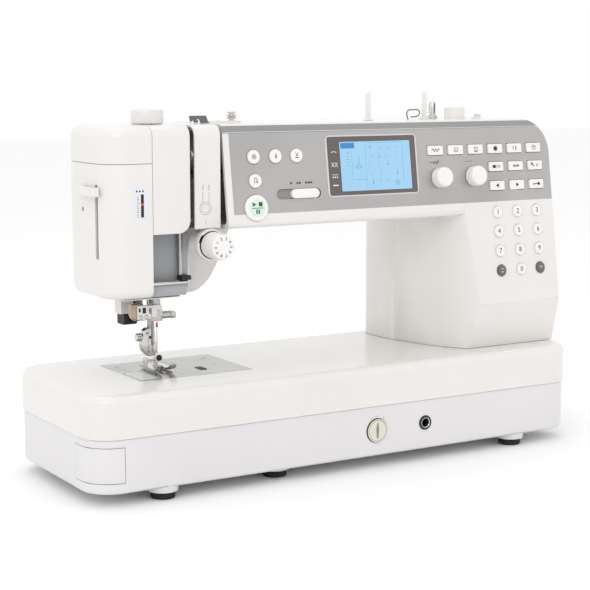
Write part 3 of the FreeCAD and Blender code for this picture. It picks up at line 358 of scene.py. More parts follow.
# ------------------------------------------------------------------------------------------------
# Mesh making
# ------------------------------------------------------------------------------------------------
@dataclass
class Workshop:
    """Makes finished pieces and puts them on the bodies of the frame."""

    made: list[bpy.types.Object] = field(default_factory=list)

    def finish_piece(self, piece: bpy.types.Object, finish: Finish, body: str,
                     replaced: Sequence[str] = ()) -> bpy.types.Object:
        """Dress a piece, shade it and let it ride.

        Args:
            piece: The piece, in place.
            finish: Its finish.
            body: The body it rides on.
            replaced: CAD nodes that it stands for.

        Returns:
            The same piece.
        """
        piece.data.materials.append(finish.build())
        piece.data.polygons.foreach_set("use_smooth", [True] * len(piece.data.polygons))
        piece.data.set_sharp_from_angle(angle=math.radians(SHARP_EDGE))
        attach(piece, body)
        if replaced:
            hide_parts(*replaced)
        self.made.append(piece)
        return piece

    def from_bmesh(self, name: str, mesh: bmesh.types.BMesh, where: Matrix) -> bpy.types.Object:
        """A mesh object from a bmesh, carried to its place.

        Args:
            name: The piece's name.
            mesh: The bmesh in millimetres, which is used up.
            where: Frame that carries it to its place.

        Returns:
            The object.
        """
        data = bpy.data.meshes.new(name)
        bmesh.ops.recalc_face_normals(mesh, faces=mesh.faces)
        mesh.to_mesh(data)
        mesh.free()
        data.transform(where @ Matrix.Scale(MM, 4))
        piece = bpy.data.objects.new(name, data)
        bpy.context.collection.objects.link(piece)
        return piece

    def turned(self, name: str, profile: Outline, where: Matrix, finish: Finish,
               body: str, replaced: Sequence[str] = (), steps: int = 64, ribs: int = 0,
               rib_depth: float = 0.0, rib_band: Flat = (0.0, 0.0)) -> bpy.types.Object:
        """A round piece from a (radius, height) outline in millimetres.

        Args:
            name: The piece's name.
            profile: Outline from the axis round to the axis.
            where: Frame whose +Z is the piece's axis.
            finish: Its finish.
            body: The body it rides on.
            replaced: CAD nodes that it stands for.
            steps: Points round the piece.
            ribs: Number of grip ribs, or 0.
            rib_depth: Depth of a rib in millimetres.
            rib_band: Heights between which the ribs run.

        Returns:
            The piece.
        """
        mesh = bmesh.new()
        rings = []
        for radius, height in profile:
            if radius < 1e-6:
                rings.append([mesh.verts.new((0, 0, height))])
                continue
            ring = []
            for step in range(steps):
                angle = 2 * math.pi * step / steps
                cut = 0.0
                if ribs and rib_band[0] <= height <= rib_band[1]:
                    cut = rib_depth * 0.5 * (1 - math.cos(ribs * angle))
                reach = radius - cut
                ring.append(mesh.verts.new((reach * math.cos(angle), reach * math.sin(angle), height)))
            rings.append(ring)
        for low, high in zip(rings, rings[1:]):
            join_rings(mesh, low, high)
        return self.finish_piece(self.from_bmesh(name, mesh, where), finish, body, replaced)

    def plate(self, name: str, outline: Outline, thickness: float, where: Matrix,
              finish: Finish, body: str, replaced: Sequence[str] = (), edge: float = 0.0) -> bpy.types.Object:
        """A flat piece from a closed outline in millimetres, standing on its own XY plane.

        Args:
            name: The piece's name.
            outline: Corners, in order.
            thickness: Height in millimetres.
            where: Frame that carries it to its place.
            finish: Its finish.
            body: The body it rides on.
            replaced: CAD nodes that it stands for.
            edge: Width of the rounded upper edge in millimetres.

        Returns:
            The piece.
        """
        mesh = bmesh.new()
        low = [mesh.verts.new((x, y, 0.0)) for x, y in outline]
        mesh.faces.new(low[::-1])
        levels = [(0.0, thickness - edge)]
        for share in (0.3, 0.65, 1.0) if edge else ():
            angle = share * math.pi / 2
            levels.append((edge * (1 - math.cos(angle)), thickness - edge + edge * math.sin(angle)))
        before = low
        for inset, height in levels:
            ring = [mesh.verts.new((x, y, height)) for x, y in inset_outline(outline, inset)]
            join_rings(mesh, before, ring)
            before = ring
        mesh.faces.new(before)
        return self.finish_piece(self.from_bmesh(name, mesh, where), finish, body, replaced)

    def prints(self, name: str, outlines: Iterable[Outline], where: Matrix,
               finish: Finish, body: str, thickness: float = 0.08) -> bpy.types.Object:
        """Pad-printed marks: thin closed plates, all in one piece.

        Args:
            name: The piece's name.
            outlines: Their outlines in millimetres.
            where: Frame that carries them to their place.
            finish: The ink.
            body: The body they ride on.
            thickness: Height above the surface in millimetres.

        Returns:
            The piece.
        """
        mesh = bmesh.new()
        for outline in outlines:
            low = [mesh.verts.new((x, y, -PRINT_SINK)) for x, y in outline]
            high = [mesh.verts.new((x, y, thickness)) for x, y in outline]
            mesh.faces.new(low[::-1])
            mesh.faces.new(high)
            join_rings(mesh, low, high)
        return self.finish_piece(self.from_bmesh(name, mesh, where), finish, body)

    def rim(self, name: str, outer: Outline, inner: Outline,
            thickness: float, where: Matrix, finish: Finish, body: str) -> bpy.types.Object:
        """A flat ring between two outlines.

        Args:
            name: The piece's name.
            outer: Outer outline in millimetres.
            inner: Inner outline with as many corners.
            thickness: Height in millimetres.
            where: Frame that carries it to its place.
            finish: Its finish.
            body: The body it rides on.

        Returns:
            The piece.
        """
        mesh = bmesh.new()
        loops = [[mesh.verts.new((x, y, height)) for x, y in outline]
                 for outline, height in ((outer, 0.0), (outer, thickness * 0.6),
                                         (inset_outline(outer, thickness * 0.4), thickness),
                                         (inner, thickness), (inner, 0.0))]
        for low, high in zip(loops, loops[1:] + loops[:1]):
            join_rings(mesh, low, high)
        return self.finish_piece(self.from_bmesh(name, mesh, where), finish, body)

    def draped(self, name: str, outlines: Iterable[Outline], node: str, finish: Finish,
               body: str, lift: float) -> bpy.types.Object:
        """Film or print laid from the front onto a curved CAD node.

        Args:
            name: The piece's name.
            outlines: Outlines in x and z millimetres.
            node: The CAD node it lies on.
            finish: Its finish.
            body: The body it rides on.
            lift: Height of its face above the node in millimetres.

        Returns:
            The piece.
        """
        mesh = bmesh.new()
        skin = frame["nodes"][node]
        for outline in outlines:
            spots = []
            for x, z in outline:
                hit, spot, _, _ = skin.ray_cast(place(x, -200.0, z), Vector((0.0, 1.0, 0.0)))
                spots.append(spot / MM if hit else None)
            if None in spots:
                log.warning("%s leaves %s", name, node)
                continue
            low = [mesh.verts.new(spot + Vector((0, PRINT_SINK, 0))) for spot in spots]
            high = [mesh.verts.new(spot - Vector((0, lift, 0))) for spot in spots]
            mesh.faces.new(low[::-1])
            mesh.faces.new(high)
            join_rings(mesh, low, high)
        return self.finish_piece(self.from_bmesh(name, mesh, Matrix.Identity(4)), finish, body)

    def band(self, name: str, node: str, low: float, high: float, finish: Finish, body: str,
             lift: float = 0.15) -> bpy.types.Object:
        """Thin band that follows the front of a CAD node between two levels.

        Args:
            name: The piece's name.
            node: The CAD node it follows.
            low: Lower level in millimetres.
            high: Upper level in millimetres.
            finish: Its finish.
            body: The body it rides on.
            lift: Thickness of the band in millimetres.

        Returns:
            The piece.
        """
        mesh = bmesh.new()
        mesh.from_mesh(frame["nodes"][node].data)
        bmesh.ops.remove_doubles(mesh, verts=mesh.verts, dist=WELD_GAP)
        for level, keep_above in ((low, True), (high, False)):
            bmesh.ops.bisect_plane(mesh, geom=mesh.verts[:] + mesh.edges[:] + mesh.faces[:],
                                   plane_co=(0, 0, level * MM), plane_no=(0, 0, 1), clear_inner=keep_above,
                                   clear_outer=not keep_above)
        mesh.normal_update()
        # What looks down, looks neither forward nor to the right end, or lies at the back, has no band.
        away = [face for face in mesh.faces if face.normal.z < -0.2
                or (face.normal.y > -0.25 and face.normal.x < 0.5) or face.calc_center_median().y > 0.0]
        bmesh.ops.delete(mesh, geom=away, context="FACES")
        return self.thicken(name, mesh, lift, finish, body)

    def skin(self, name: str, node: str, left: float, lift: float, finish: Finish,
             body: str) -> bpy.types.Object:
        """Thin closed skin over the part of a CAD node that lies right of a place.

        Args:
            name: The piece's name.
            node: The CAD node that it covers.
            left: Where it starts, in millimetres along the arm.
            lift: Its thickness in millimetres.
            finish: Its finish.
            body: The body it rides on.

        Returns:
            The piece.
        """
        mesh = bmesh.new()
        mesh.from_mesh(frame["nodes"][node].data)
        bmesh.ops.remove_doubles(mesh, verts=mesh.verts, dist=WELD_GAP)
        bmesh.ops.bisect_plane(mesh, geom=mesh.verts[:] + mesh.edges[:] + mesh.faces[:],
                               plane_co=place(left, 0.0, 0.0), plane_no=(1, 0, 0), clear_inner=True)
        return self.thicken(name, mesh, lift, finish, body)

    def thicken(self, name: str, mesh: bmesh.types.BMesh, lift: float, finish: Finish,
                body: str) -> bpy.types.Object:
        """Turn an open skin into a closed sheet.

        Args:
            name: The piece's name.
            mesh: The skin in metres, which is used up.
            lift: The sheet's thickness in millimetres.
            finish: Its finish.
            body: The body it rides on.

        Returns:
            The piece.
        """
        mesh.normal_update()
        top = {vert: mesh.verts.new(vert.co + vert.normal * (lift * MM)) for vert in mesh.verts[:]}
        rims = [edge for edge in mesh.edges if edge.is_boundary]
        for edge in rims:
            first, last = edge.link_loops[0].vert, edge.link_loops[0].link_loop_next.vert
            mesh.faces.new((last, first, top[first], top[last]))
        for face in [face for face in mesh.faces if all(vert in top for vert in face.verts)]:
            mesh.faces.new([top[vert] for vert in face.verts])
            face.normal_flip()
        data = bpy.data.meshes.new(name)
        mesh.to_mesh(data)
        mesh.free()
        piece = bpy.data.objects.new(name, data)
        bpy.context.collection.objects.link(piece)
        return self.finish_piece(piece, finish, body)

    def digits(self, name: str, marks: Sequence[tuple[str, float, float, float]], height: float,
               where: Matrix, finish: Finish, body: str) -> bpy.types.Object:
        """Numerals as one thin printed piece.

        Args:
            name: The piece's name.
            marks: Text, x and y in millimetres, and turn in degrees of each numeral.
            height: Height of the numerals in millimetres.
            where: Frame that carries them to their place.
            finish: The ink.
            body: The body they ride on.

        Returns:
            The piece.
        """
        mesh = bmesh.new()
        for text, x, y, turn in marks:
            curve = bpy.data.curves.new(name + "_type", "FONT")
            curve.body = text
            curve.size = height * TYPE_SIZE
            curve.align_x = "CENTER"
            curve.align_y = "CENTER"
            curve.extrude = 0.06
            holder = bpy.data.objects.new(name + "_type", curve)
            data = bpy.data.meshes.new_from_object(holder)
            data.transform(Matrix.Translation((x, y, 0.03)) @ Matrix.Rotation(math.radians(turn), 4, "Z"))
            mesh.from_mesh(data)
            bpy.data.objects.remove(holder)
            bpy.data.meshes.remove(data)
            bpy.data.curves.remove(curve)
        bmesh.ops.remove_doubles(mesh, verts=mesh.verts, dist=1e-5)
        return self.finish_piece(self.from_bmesh(name, mesh, where), finish, body)

    def wire(self, name: str, path: Sequence[Point], radius: float, finish: Finish,
             body: str) -> bpy.types.Object:
        """A bent round wire or rod.

        Args:
            name: The piece's name.
            path: Points in millimetres that lead its middle line.
            radius: Its radius in millimetres.
            finish: Its finish.
            body: The body it rides on.

        Returns:
            The piece.
        """
        curve = bpy.data.curves.new(name, "CURVE")
        curve.dimensions = "3D"
        curve.bevel_depth = radius * MM
        curve.bevel_resolution = 6
        curve.use_fill_caps = True
        line = curve.splines.new("NURBS")
        line.points.add(len(path) - 1)
        for point, spot in zip(line.points, path):
            point.co = (*place(*spot), 1.0)
        line.order_u = 3
        line.use_endpoint_u = True
        line.resolution_u = 8
        holder = bpy.data.objects.new(name + "_line", curve)
        data = bpy.data.meshes.new_from_object(holder)
        bpy.data.objects.remove(holder)
        data.name = name
        piece = bpy.data.objects.new(name, data)
        bpy.context.collection.objects.link(piece)
        return self.finish_piece(piece, finish, body)


def body_of(node: str) -> str:
    """The body that a CAD node rides on."""
    bodies = frame["record"]["behaviour"]["bodies"]
    return next(name for name, nodes in bodies.items() if node in nodes)


def join_rings(mesh: bmesh.types.BMesh, low: list[bmesh.types.BMVert],
               high: list[bmesh.types.BMVert]) -> None:
    """Skin between two rings.

    Args:
        mesh: The bmesh that holds them.
        low: The lower ring, or one vertex as a pole.
        high: The upper ring with as many vertices, or one vertex as a pole.
    """
    count = max(len(low), len(high))
    for step in range(count):
        after = (step + 1) % count
        if len(low) == 1:
            mesh.faces.new((low[0], high[step], high[after]))
        elif len(high) == 1:
            mesh.faces.new((low[step], high[0], low[after]))
        else:
            mesh.faces.new((low[step], low[after], high[after], high[step]))


def inset_outline(outline: Outline, inset: float) -> list[Flat]:
    """Move every corner of an outline inward.

    Args:
        outline: Counter-clockwise corners.
        inset: The distance.

    Returns:
        The moved corners.
    """
    if not inset:
        return list(outline)
    moved = []
    count = len(outline)
    for index, (x, y) in enumerate(outline):
        before = Vector(outline[index - 1])
        here, after = Vector((x, y)), Vector(outline[(index + 1) % count])
        first, second = (here - before).normalized(), (after - here).normalized()
        inward = Vector((-first.y - second.y, first.x + second.x))
        scale = max(1.0 + first.dot(second), 0.2)
        moved.append((x + inward.x * inset / scale, y + inward.y * inset / scale))
    return moved


def round_rect(width: float, height: float, radius: float, steps: int = 6, x: float = 0.0,
               y: float = 0.0) -> list[Flat]:
    """Rounded rectangle as a counter-clockwise outline, in millimetres.

    Args:
        width: Its size along x.
        height: Its size along y.
        radius: Corner radius.
        steps: Strokes in each corner.
        x: Its middle.
        y: Its middle.

    Returns:
        The outline.
    """
    points = []
    for quarter, (sx, sy) in enumerate(((1, -1), (1, 1), (-1, 1), (-1, -1))):
        for step in range(steps + 1):
            angle = math.radians(-90 + 90 * quarter + 90 * step / steps)
            points.append((x + sx * (width / 2 - radius) + radius * math.cos(angle),
                           y + sy * (height / 2 - radius) + radius * math.sin(angle)))
    return points


def disc(radius: float, x: float = 0.0, y: float = 0.0, steps: int = 32) -> list[Flat]:
    """Counter-clockwise circle as an outline, in millimetres."""
    angles = [2 * math.pi * step / steps for step in range(steps)]
    return [(x + radius * math.cos(angle), y + radius * math.sin(angle)) for angle in angles]


def bar(start: Flat, end: Flat, width: float) -> list[Flat]:
    """Straight stroke as an outline, in millimetres.

    Args:
        start: One end.
        end: The other end.
        width: Width of the stroke.

    Returns:
        The outline.
    """
    first, last = Vector(start), Vector(end)
    across = (last - first).normalized()
    across = Vector((-across.y, across.x)) * (width / 2)
    return [tuple(first - across), tuple(last - across), tuple(last + across), tuple(first + across)]


def ring_strokes(radius: float, width: float, x: float = 0.0, y: float = 0.0,
                 steps: int = 24) -> list[list[Flat]]:
    """Printed ring as short strokes."""
    spots = disc(radius, x, y, steps)
    return [bar(a, b, width) for a, b in zip(spots, spots[1:] + spots[:1])]


def stroke(points: Outline, width: float) -> list[list[Flat]]:
    """Printed line through several points, as short strokes."""
    return [bar(a, b, width) for a, b in zip(points, points[1:])]


def ellipse(across: float, up: float) -> list[Flat]:
    """Counter-clockwise ellipse as an outline, with its half-widths in millimetres."""
    return [(across * x, up * y) for x, y in disc(1.0, steps=40)]


def reach_of(node: str) -> float:
    """How far a CAD node stands out of the inclined front.

    Args:
        node: The node's name.

    Returns:
        The distance in millimetres.
    """
    outward = Vector((0.0, -math.cos(LEAN), math.sin(LEAN)))
    foot = place(0.0, KNEE_Y, KNEE_LEVEL)
    vertices = frame["nodes"][node].data.vertices
    return max((vertex.co - foot).dot(outward) for vertex in vertices) / MM


# ------------------------------------------------------------------------------------------------
# Sub-assemblies
# ------------------------------------------------------------------------------------------------
@dataclass(frozen=True)
class Dress:
    """Finish and edge rounding of some CAD nodes."""

    finish: Finish
    edge_mm: float
    nodes: tuple[str, ...]


@dataclass
class Shells:
    """The CAD nodes that are shown as they are, with rounded edges and their real materials."""

    dresses: tuple[Dress, ...]
    flat_angle: float = 0.8
    bevel_angle: float = 34.0

    def build(self) -> None:
        """Dress every node."""
        for dress in self.dresses:
            for name in dress.nodes:
                self.dress_node(frame["nodes"][name], dress)
                log.info("Shells: %s in %s", name, dress.finish.title)

    def dress_node(self, node: bpy.types.Object, dress: Dress) -> None:
        """Give one CAD node its material and its rounded edges.

        Args:
            node: The node's object.
            dress: What it wears.
        """
        node.data.materials.clear()
        node.data.materials.append(dress.finish.build())
        weld = node.modifiers.new("weld", "WELD")
        weld.merge_threshold = WELD_GAP
        flatten = node.modifiers.new("flatten", "DECIMATE")
        flatten.decimate_type = "DISSOLVE"
        flatten.angle_limit = math.radians(self.flat_angle)
        edge = node.modifiers.new("edge", "BEVEL")
        edge.width = dress.edge_mm * MM
        edge.segments = 3
        edge.limit_method = "ANGLE"
        edge.angle_limit = math.radians(self.bevel_angle)
        edge.use_clamp_overlap = True
        edge.harden_normals = True


@dataclass
class Base:
    """Marks and small parts on the base: balance dial, knee socket, needle plate."""

    shop: Workshop
    dial: Point = (21.2, -79.8, 31.5)
    socket: Point = (69.6, -79.6, 32.5)
    plate_top: float = 85.0
    needle_x: float = -140.6
    guide_ends: Flat = (-30.0, 14.0)
    screws: tuple[Flat, ...] = ((-163.0, 27.0), (-84.0, 27.0))
    release: Flat = (-106.0, -11.5)

    def build(self) -> None:
        """Make the base's pieces."""
        self.balance_marks()
        self.socket_liner()
        self.plate_marks()
        self.plate_fittings()

    def balance_marks(self) -> None:
        """Slot of the balance dial and the three ticks moulded round it, drawn as flat grey marks: painted
        shade of the slot, the lip's crease and the relief.
        """
        x, y, z = self.dial
        face = [(0, -4.0), (6.0, -4.0), (6.0, 0.6), (9.3, 0.6), (9.8, 0.9), (9.7, 1.15), (9.2, 1.15),
                (8.9, 0.85), (0, 0.9)]
        at = facing_front(x, y + 1.0, z)
        self.shop.turned("balance_dial_face", face, at, CREAM_ABS, "balance", ("balance_dial",), 96)
        # The grey slot, the ring at the lip's crease and the ticks are painted shade.
        slot = [[(-1.5, 1.0), (-0.9, -5.4), (0.0, -7.2), (0.9, -5.4), (1.5, 1.0), (0.7, 6.4), (-0.7, 6.4)]]
        at = facing_front(x, y + 0.1, z)
        self.shop.prints("balance_slot", slot, at, GREY_INK_AND_PAINTED_SHADE, "balance")
        self.shop.prints("balance_ring", ring_strokes(8.6, 0.35, steps=48), at, GREY_INK_AND_PAINTED_SHADE, "balance", 0.05)
        ticks = []
        for turn in (60, 90, 120):
            along = Vector((math.cos(math.radians(turn)), math.sin(math.radians(turn))))
            ticks.append(bar(tuple(along * 11.2), tuple(along * 12.8), 0.5))
        self.shop.prints("balance_ticks", ticks, facing_front(x, y + 1.0, z), GREY_INK_AND_PAINTED_SHADE, "machine")

    def socket_liner(self) -> None:
        """Metal eyelet that lines the mouth of the knee lever socket."""
        x, y, z = self.socket
        profile = [(3.62, -9.0), (4.3, -9.0), (4.3, -0.1), (4.6, 0.1), (4.5, 0.35), (3.9, 0.35), (3.62, 0.0),
                   (3.62, -9.0)]
        self.shop.turned("knee_socket_liner", profile, facing_front(x, y + 0.4, z), NICKEL, "machine")

    def plate_marks(self) -> None:
        """Seam guide lines and stitch hole edges engraved on the needle plate, drawn as flat grey marks:
        painted shade of the grooves and hole edges.
        """
        marks = []
        for index, offset in enumerate((10, 15, 20, 25)):
            long = 17.0 if index % 2 == 0 else 11.0
            x = self.needle_x + offset
            marks += [bar((x, start), (x, start + long), 0.35) for start in self.guide_ends]
        marks += [bar((-166.0, level), (-160.0, level), 0.35) for level in (8.0, 12.0, 16.0)]
        marks += ring_strokes(1.3, 0.3, -121.5, 34.0) + ring_strokes(1.0, 0.3, -88.0, -1.0)
        at = upright(0.0, 0.0, self.plate_top)
        self.shop.prints("plate_guide_lines", marks, at, GREY_INK_AND_PAINTED_SHADE, "machine", 0.05)

    def plate_fittings(self) -> None:
        """Two countersunk screws and the dark release of the hook cover."""
        for index, (x, y) in enumerate(self.screws):
            at = upright(x, y, self.plate_top)
            tall = 0.36
            head = [(0, -0.5), (2.6, -0.5), (2.6, 0.1), (2.3, 0.3), (0, tall)]
            self.shop.turned(f"plate_screw_{index + 1}", head, at, NICKEL, "machine", steps=32)
            # The slot in each screw head is a black print: painted shade.
            self.shop.prints(f"plate_screw_slot_{index + 1}", [bar((-1.9, -0.6), (1.9, 0.6), 0.5)],
                             raised(at, tall), BLACK_INK_AND_PAINTED_SHADE, "machine", 0.05)
        at = upright(*self.release, self.plate_top)
        self.shop.plate("hook_cover_release", round_rect(6.0, 12.0, 0.8), 0.4, at, BLACK_NYLON_AND_PAINTED_SHADE, "machine",
                        edge=0.15)


@dataclass
class Panel:
    """Everything printed or mounted on the inclined control panel and the number field below it."""

    shop: Workshop
    function_keys: tuple[Flat, ...] = ((-73.8, 256.2), (-53.8, 256.2), (-34.3, 256.2),
                                       (-73.8, 237.4))
    start: Flat = (-74.6, 216.3)
    speed_slot: Flat = (-34.15, 226.0)
    speed_marks: float = 234.5
    knobs: tuple[tuple[str, float, float], ...] = (("width", 105.4, 233.8), ("length", 141.6, 233.8))
    pad_columns: tuple[float, ...] = (165.2, 186.9, 208.4)
    pad_rows: tuple[float, ...] = (202.3, 185.8, 169.0, 152.0)

    def build(self) -> None:
        """Make the panel's pieces."""
        self.function_symbols()
        self.start_key()
        self.speed_control()
        self.stitch_symbols()
        self.knob_pieces()
        self.number_keys()
        self.bevel_strip()

    def stitch_places(self) -> list[Flat]:
        """Middles of the twelve stitch keys."""
        row = [(102.8 + 21.3 * step, 256.8) for step in range(6)]
        return row + [(166.5 + 21.7 * step, level) for level in (241.4, 225.1) for step in range(3)]

    def function_symbols(self) -> None:
        """Lock, needle up or down, thread cutter and reverse signs on the round keys."""
        lock = ring_strokes(1.9, 0.4, steps=8) + [disc(0.8, steps=12)]
        needle = [[(-1.0, 0.0), (0.0, -2.4), (1.0, 0.0)], [(-0.8, 0.5), (0.8, 0.5), (0.0, 2.2)]]
        cutter = stroke([(-1.4, 2.3), (1.0, -0.8)], 0.4) + stroke([(1.4, 2.3), (-1.0, -0.8)], 0.4)
        cutter += [bar((-1.7, -1.7), (1.7, -1.7), 0.6)]
        back = stroke([(-1.1, -2.0), (-1.1, 1.5), (0.0, 2.3), (1.1, 1.5), (1.1, -0.6)], 0.5)
        back += [[(0.1, -0.6), (1.1, -2.2), (2.1, -0.6)]]
        signs = (lock, needle, cutter, back)
        rim = [(5.6, -0.2), (6.2, -0.2), (6.2, 0.12), (5.95, 0.22), (5.6, 0.12), (5.6, -0.2)]
        for index, (outlines, (x, level)) in enumerate(zip(signs, self.function_keys), 1):
            node = f"function_key_{index}"
            at = on_front(x, level, reach_of(node))
            self.shop.prints(f"function_sign_{index}", outlines, at, BLACK_INK_AND_PAINTED_SHADE, body_of(node))
            # Each rim is in the darker lacquer: painted shade round the key.
            self.shop.turned(f"function_rim_{index}", rim, on_front(x, level), PAINTED_SHADE_SILVER, "machine",
                             steps=48)

    def start_key(self) -> None:
        """Pale green lens with a generic run sign in the start key."""
        at = on_front(*self.start, reach_of("start_stop_key"))
        lens = [(0, -0.6), (7.3, -0.6), (7.3, 0.1), (7.0, 0.3), (0, 0.42)]
        self.shop.turned("start_key_lens", lens, at, GREEN_LENS, "start_stop")
        sign = [[(-4.4, 1.0), (-0.9, 2.7), (-4.4, 4.4)], round_rect(3.4, 3.4, 0.2, 2, 2.9, 2.7),
                bar((-5.2, -0.3), (5.2, -0.3), 0.5), round_rect(1.2, 3.4, 0.2, 2, -0.9, -3.1),
                round_rect(1.2, 3.4, 0.2, 2, 1.1, -3.1)]
        self.shop.prints("start_key_sign", sign, raised(at, 0.4), GREEN_INK, "start_stop")

    def speed_control(self) -> None:
        """Slot floor and the row of speed triangles."""
        x, level = self.speed_slot
        floor = round_rect(41.0, 8.0, 3.9, 8)
        self.shop.plate("speed_slot_floor", floor, 0.4, on_front(x, level, -1.7), GREY_SLOT, "machine")
        low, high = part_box("speed_slider")
        wide = (high.x - low.x) / MM - 0.4
        middle = (low.x + high.x) / 2 / MM - BASE_SHIFT
        foot = 3.0
        tall = foot + 0.2 + reach_of("speed_slider")
        self.shop.plate("speed_slider_cap", round_rect(wide, 7.6, 3.7, 10), tall,
                        on_front(middle, level, -foot), KEY_ABS, "speed", ("speed_slider",), edge=0.8)
        self.shop.rim("speed_slot_rim", round_rect(43.6, 10.6, 1.6, 8), round_rect(41.4, 8.2, 4.0, 8), 0.25,
                      on_front(x, level, -0.05), PANEL_SILVER, "machine")
        starts = (-41.6, -35.6, -33.2, -27.4, -25.0, -22.6)
        triangles = [[(start, -1.1), (start + 2.3, 0.0), (start, 1.1)] for start in starts]
        self.shop.prints("speed_triangles", triangles, on_front(0.0, self.speed_marks), BLACK_INK_AND_PAINTED_SHADE, "machine")

    def stitch_symbols(self) -> None:
        """Small dark signs on the twelve rectangular keys, all generic."""
        square = stroke([(-1.8, -1.6), (1.8, -1.6), (1.8, 1.6), (-1.8, 1.6), (-1.8, -1.6)], 0.35)
        signs = (
            stroke([(-4.2, 0), (-2.8, 1.4), (-1.4, -1.4), (0, 1.4), (1.4, -1.4), (2.8, 1.4), (4.2, 0)], 0.5),
            square + stroke([(-1.8, -0.2), (0.2, -0.2), (0.2, -1.6)], 0.35),
            square + [bar((0.0, -1.4), (0.0, 1.4), 0.4), disc(0.6, -0.9, -2.0, 10), disc(0.6, 0.9, -2.0, 10)],
            [disc(1.7, steps=20)] + ring_strokes(2.1, 0.3, steps=20),
            stroke([(-2.2, -1.2), (-1.0, 0.2), (-2.2, 1.6)], 0.5)
            + stroke([(0.6, -2.0), (1.8, 0.0), (0.6, 2.0)], 0.6),
            ring_strokes(2.0, 0.4, steps=20) + stroke([(-1.2, 0.9), (0.2, -0.2), (1.2, 0.9)], 0.4),
            [round_rect(3.4, 2.6, 0.4, 3, -2.4, 0.0)] + stroke([(0.2, -1.6), (1.0, 1.6)], 0.4)
            + ring_strokes(1.0, 0.4, 3.0),
            [[(-3.6, 0), (-1.6, 1.5), (-1.6, -1.5)], [(3.6, 0), (1.6, -1.5), (1.6, 1.5)],
             disc(0.9, steps=14)],
            stroke([(-4.0, 1.6), (-1.4, -1.2)], 0.8) + ring_strokes(1.0, 0.5, -4.0, 1.2, 12)
            + [bar((0.6, 0.6), (3.8, 0.6), 0.45), bar((0.6, -0.8), (3.0, -0.8), 0.45)],
            [[(-1.9, 0), (1.3, 1.8), (1.3, -1.8)]],
            [[(1.9, 0), (-1.3, -1.8), (-1.3, 1.8)]],
            [disc(1.4, 2.4, 0.0, 16), bar((-3.8, 0), (1.4, 0), 0.7), bar((-3.0, 0), (-3.0, -1.5), 0.7)],
        )
        for index, (outlines, (x, level)) in enumerate(zip(signs, self.stitch_places()), 1):
            node = f"stitch_key_{index}"
            at = on_front(x, level, reach_of(node))
            self.shop.prints(f"stitch_sign_{index}", outlines, at, BLACK_INK_AND_PAINTED_SHADE, body_of(node))

    def knob_pieces(self) -> None:
        """The two ribbed white knobs and the stitch lines printed above them."""
        for name, x, level in self.knobs:
            node = f"{name}_knob"
            tall = reach_of(node)
            profile = [(0, -2.4), (3.0, -2.4), (3.0, 0.3), (7.6, 0.3), (8.5, 1.0), (8.5, tall - 3.0),
                       (8.1, tall - 1.6), (7.2, tall - 0.5), (6.2, tall - 0.1), (5.9, tall - 0.35),
                       (0, tall - 0.45)]
            self.shop.turned(f"{name}_knob_grip", profile, on_front(x, level), KEY_ABS, body_of(node),
                             (node,), steps=96, ribs=32, rib_depth=0.25, rib_band=(1.0, tall - 3.0))
        zigzag = stroke([(-6.0, 0), (-3.2, 0), (-2.0, 0.8), (-0.6, -0.9), (0.8, 1.3), (2.2, -1.5), (3.6, 2.0),
                         (4.6, -0.2)], 0.5)
        self.shop.prints("width_knob_sign", zigzag, on_front(102.0, 246.6), BLACK_INK_AND_PAINTED_SHADE, "machine")
        dashes = [bar((-5.2 + offset, 0), (-5.2 + offset + length, 0), 0.45)
                  for offset, length in ((0.0, 0.9), (1.6, 1.3), (3.6, 1.8), (6.0, 2.4))]
        self.shop.prints("length_knob_sign", dashes, on_front(138.6, 246.9), BLACK_INK_AND_PAINTED_SHADE, "machine")

    def number_keys(self) -> None:
        """Digits of the number field and the two dark marked keys."""
        rise = reach_of("number_keypad")
        left, middle, right = self.pad_columns
        low = self.pad_rows[-1]
        places = [(x, level) for level in self.pad_rows[:-1] for x in self.pad_columns] + [(middle, low)]
        ring = ring_strokes(5.0, 0.12, steps=32)
        for digit, (x, level) in zip("1234567890", places):
            at = on_front(x, level, rise)
            self.shop.digits(f"pad_digit_{digit}", [(digit, 0, 0, 0)], 4.4, at, BLACK_INK_AND_PAINTED_SHADE, "machine")
            self.shop.prints(f"pad_ring_{digit}", ring, at, GREY_INK_AND_PAINTED_SHADE, "machine", 0.03)
        clear = [bar((1.2, 1.3), (-1.4, 1.3), 0.55), bar((-1.4, -1.3), (1.2, -1.3), 0.55)]
        store = stroke([(-1.5, 1.3), (0, 0.0), (1.5, 1.3)], 0.5)
        cap = [(0, -1.6), (4.3, -1.6), (4.3, 0.15), (4.05, 0.32), (0, 0.4)]
        for name, x, marks in (("clear", left, clear), ("store", right, store)):
            at = on_front(x, low, rise)
            self.shop.turned(f"{name}_key_cap", cap, at, DARK_KEY, "machine", steps=48)
            self.shop.prints(f"{name}_key_sign", marks, raised(at, 0.4), WHITE_INK, "machine")

    def bevel_strip(self) -> None:
        """Silver band that follows the front of the top cover above the panel, painted darker as the shade of
        its slope, with a painted highlight line along its lower edge.
        """
        # The darker band is painted shade of the slope.
        self.shop.band("panel_bevel_strip", "top_cover", 275.3, 280.6, PAINTED_SHADE_SILVER, "machine")
        # The light line is a painted highlight of the rounded lower edge.
        self.shop.band("panel_bevel_painted_highlight", "top_cover", 275.2, 275.75, PAINTED_HIGHLIGHT_SILVER, "machine", 0.28)


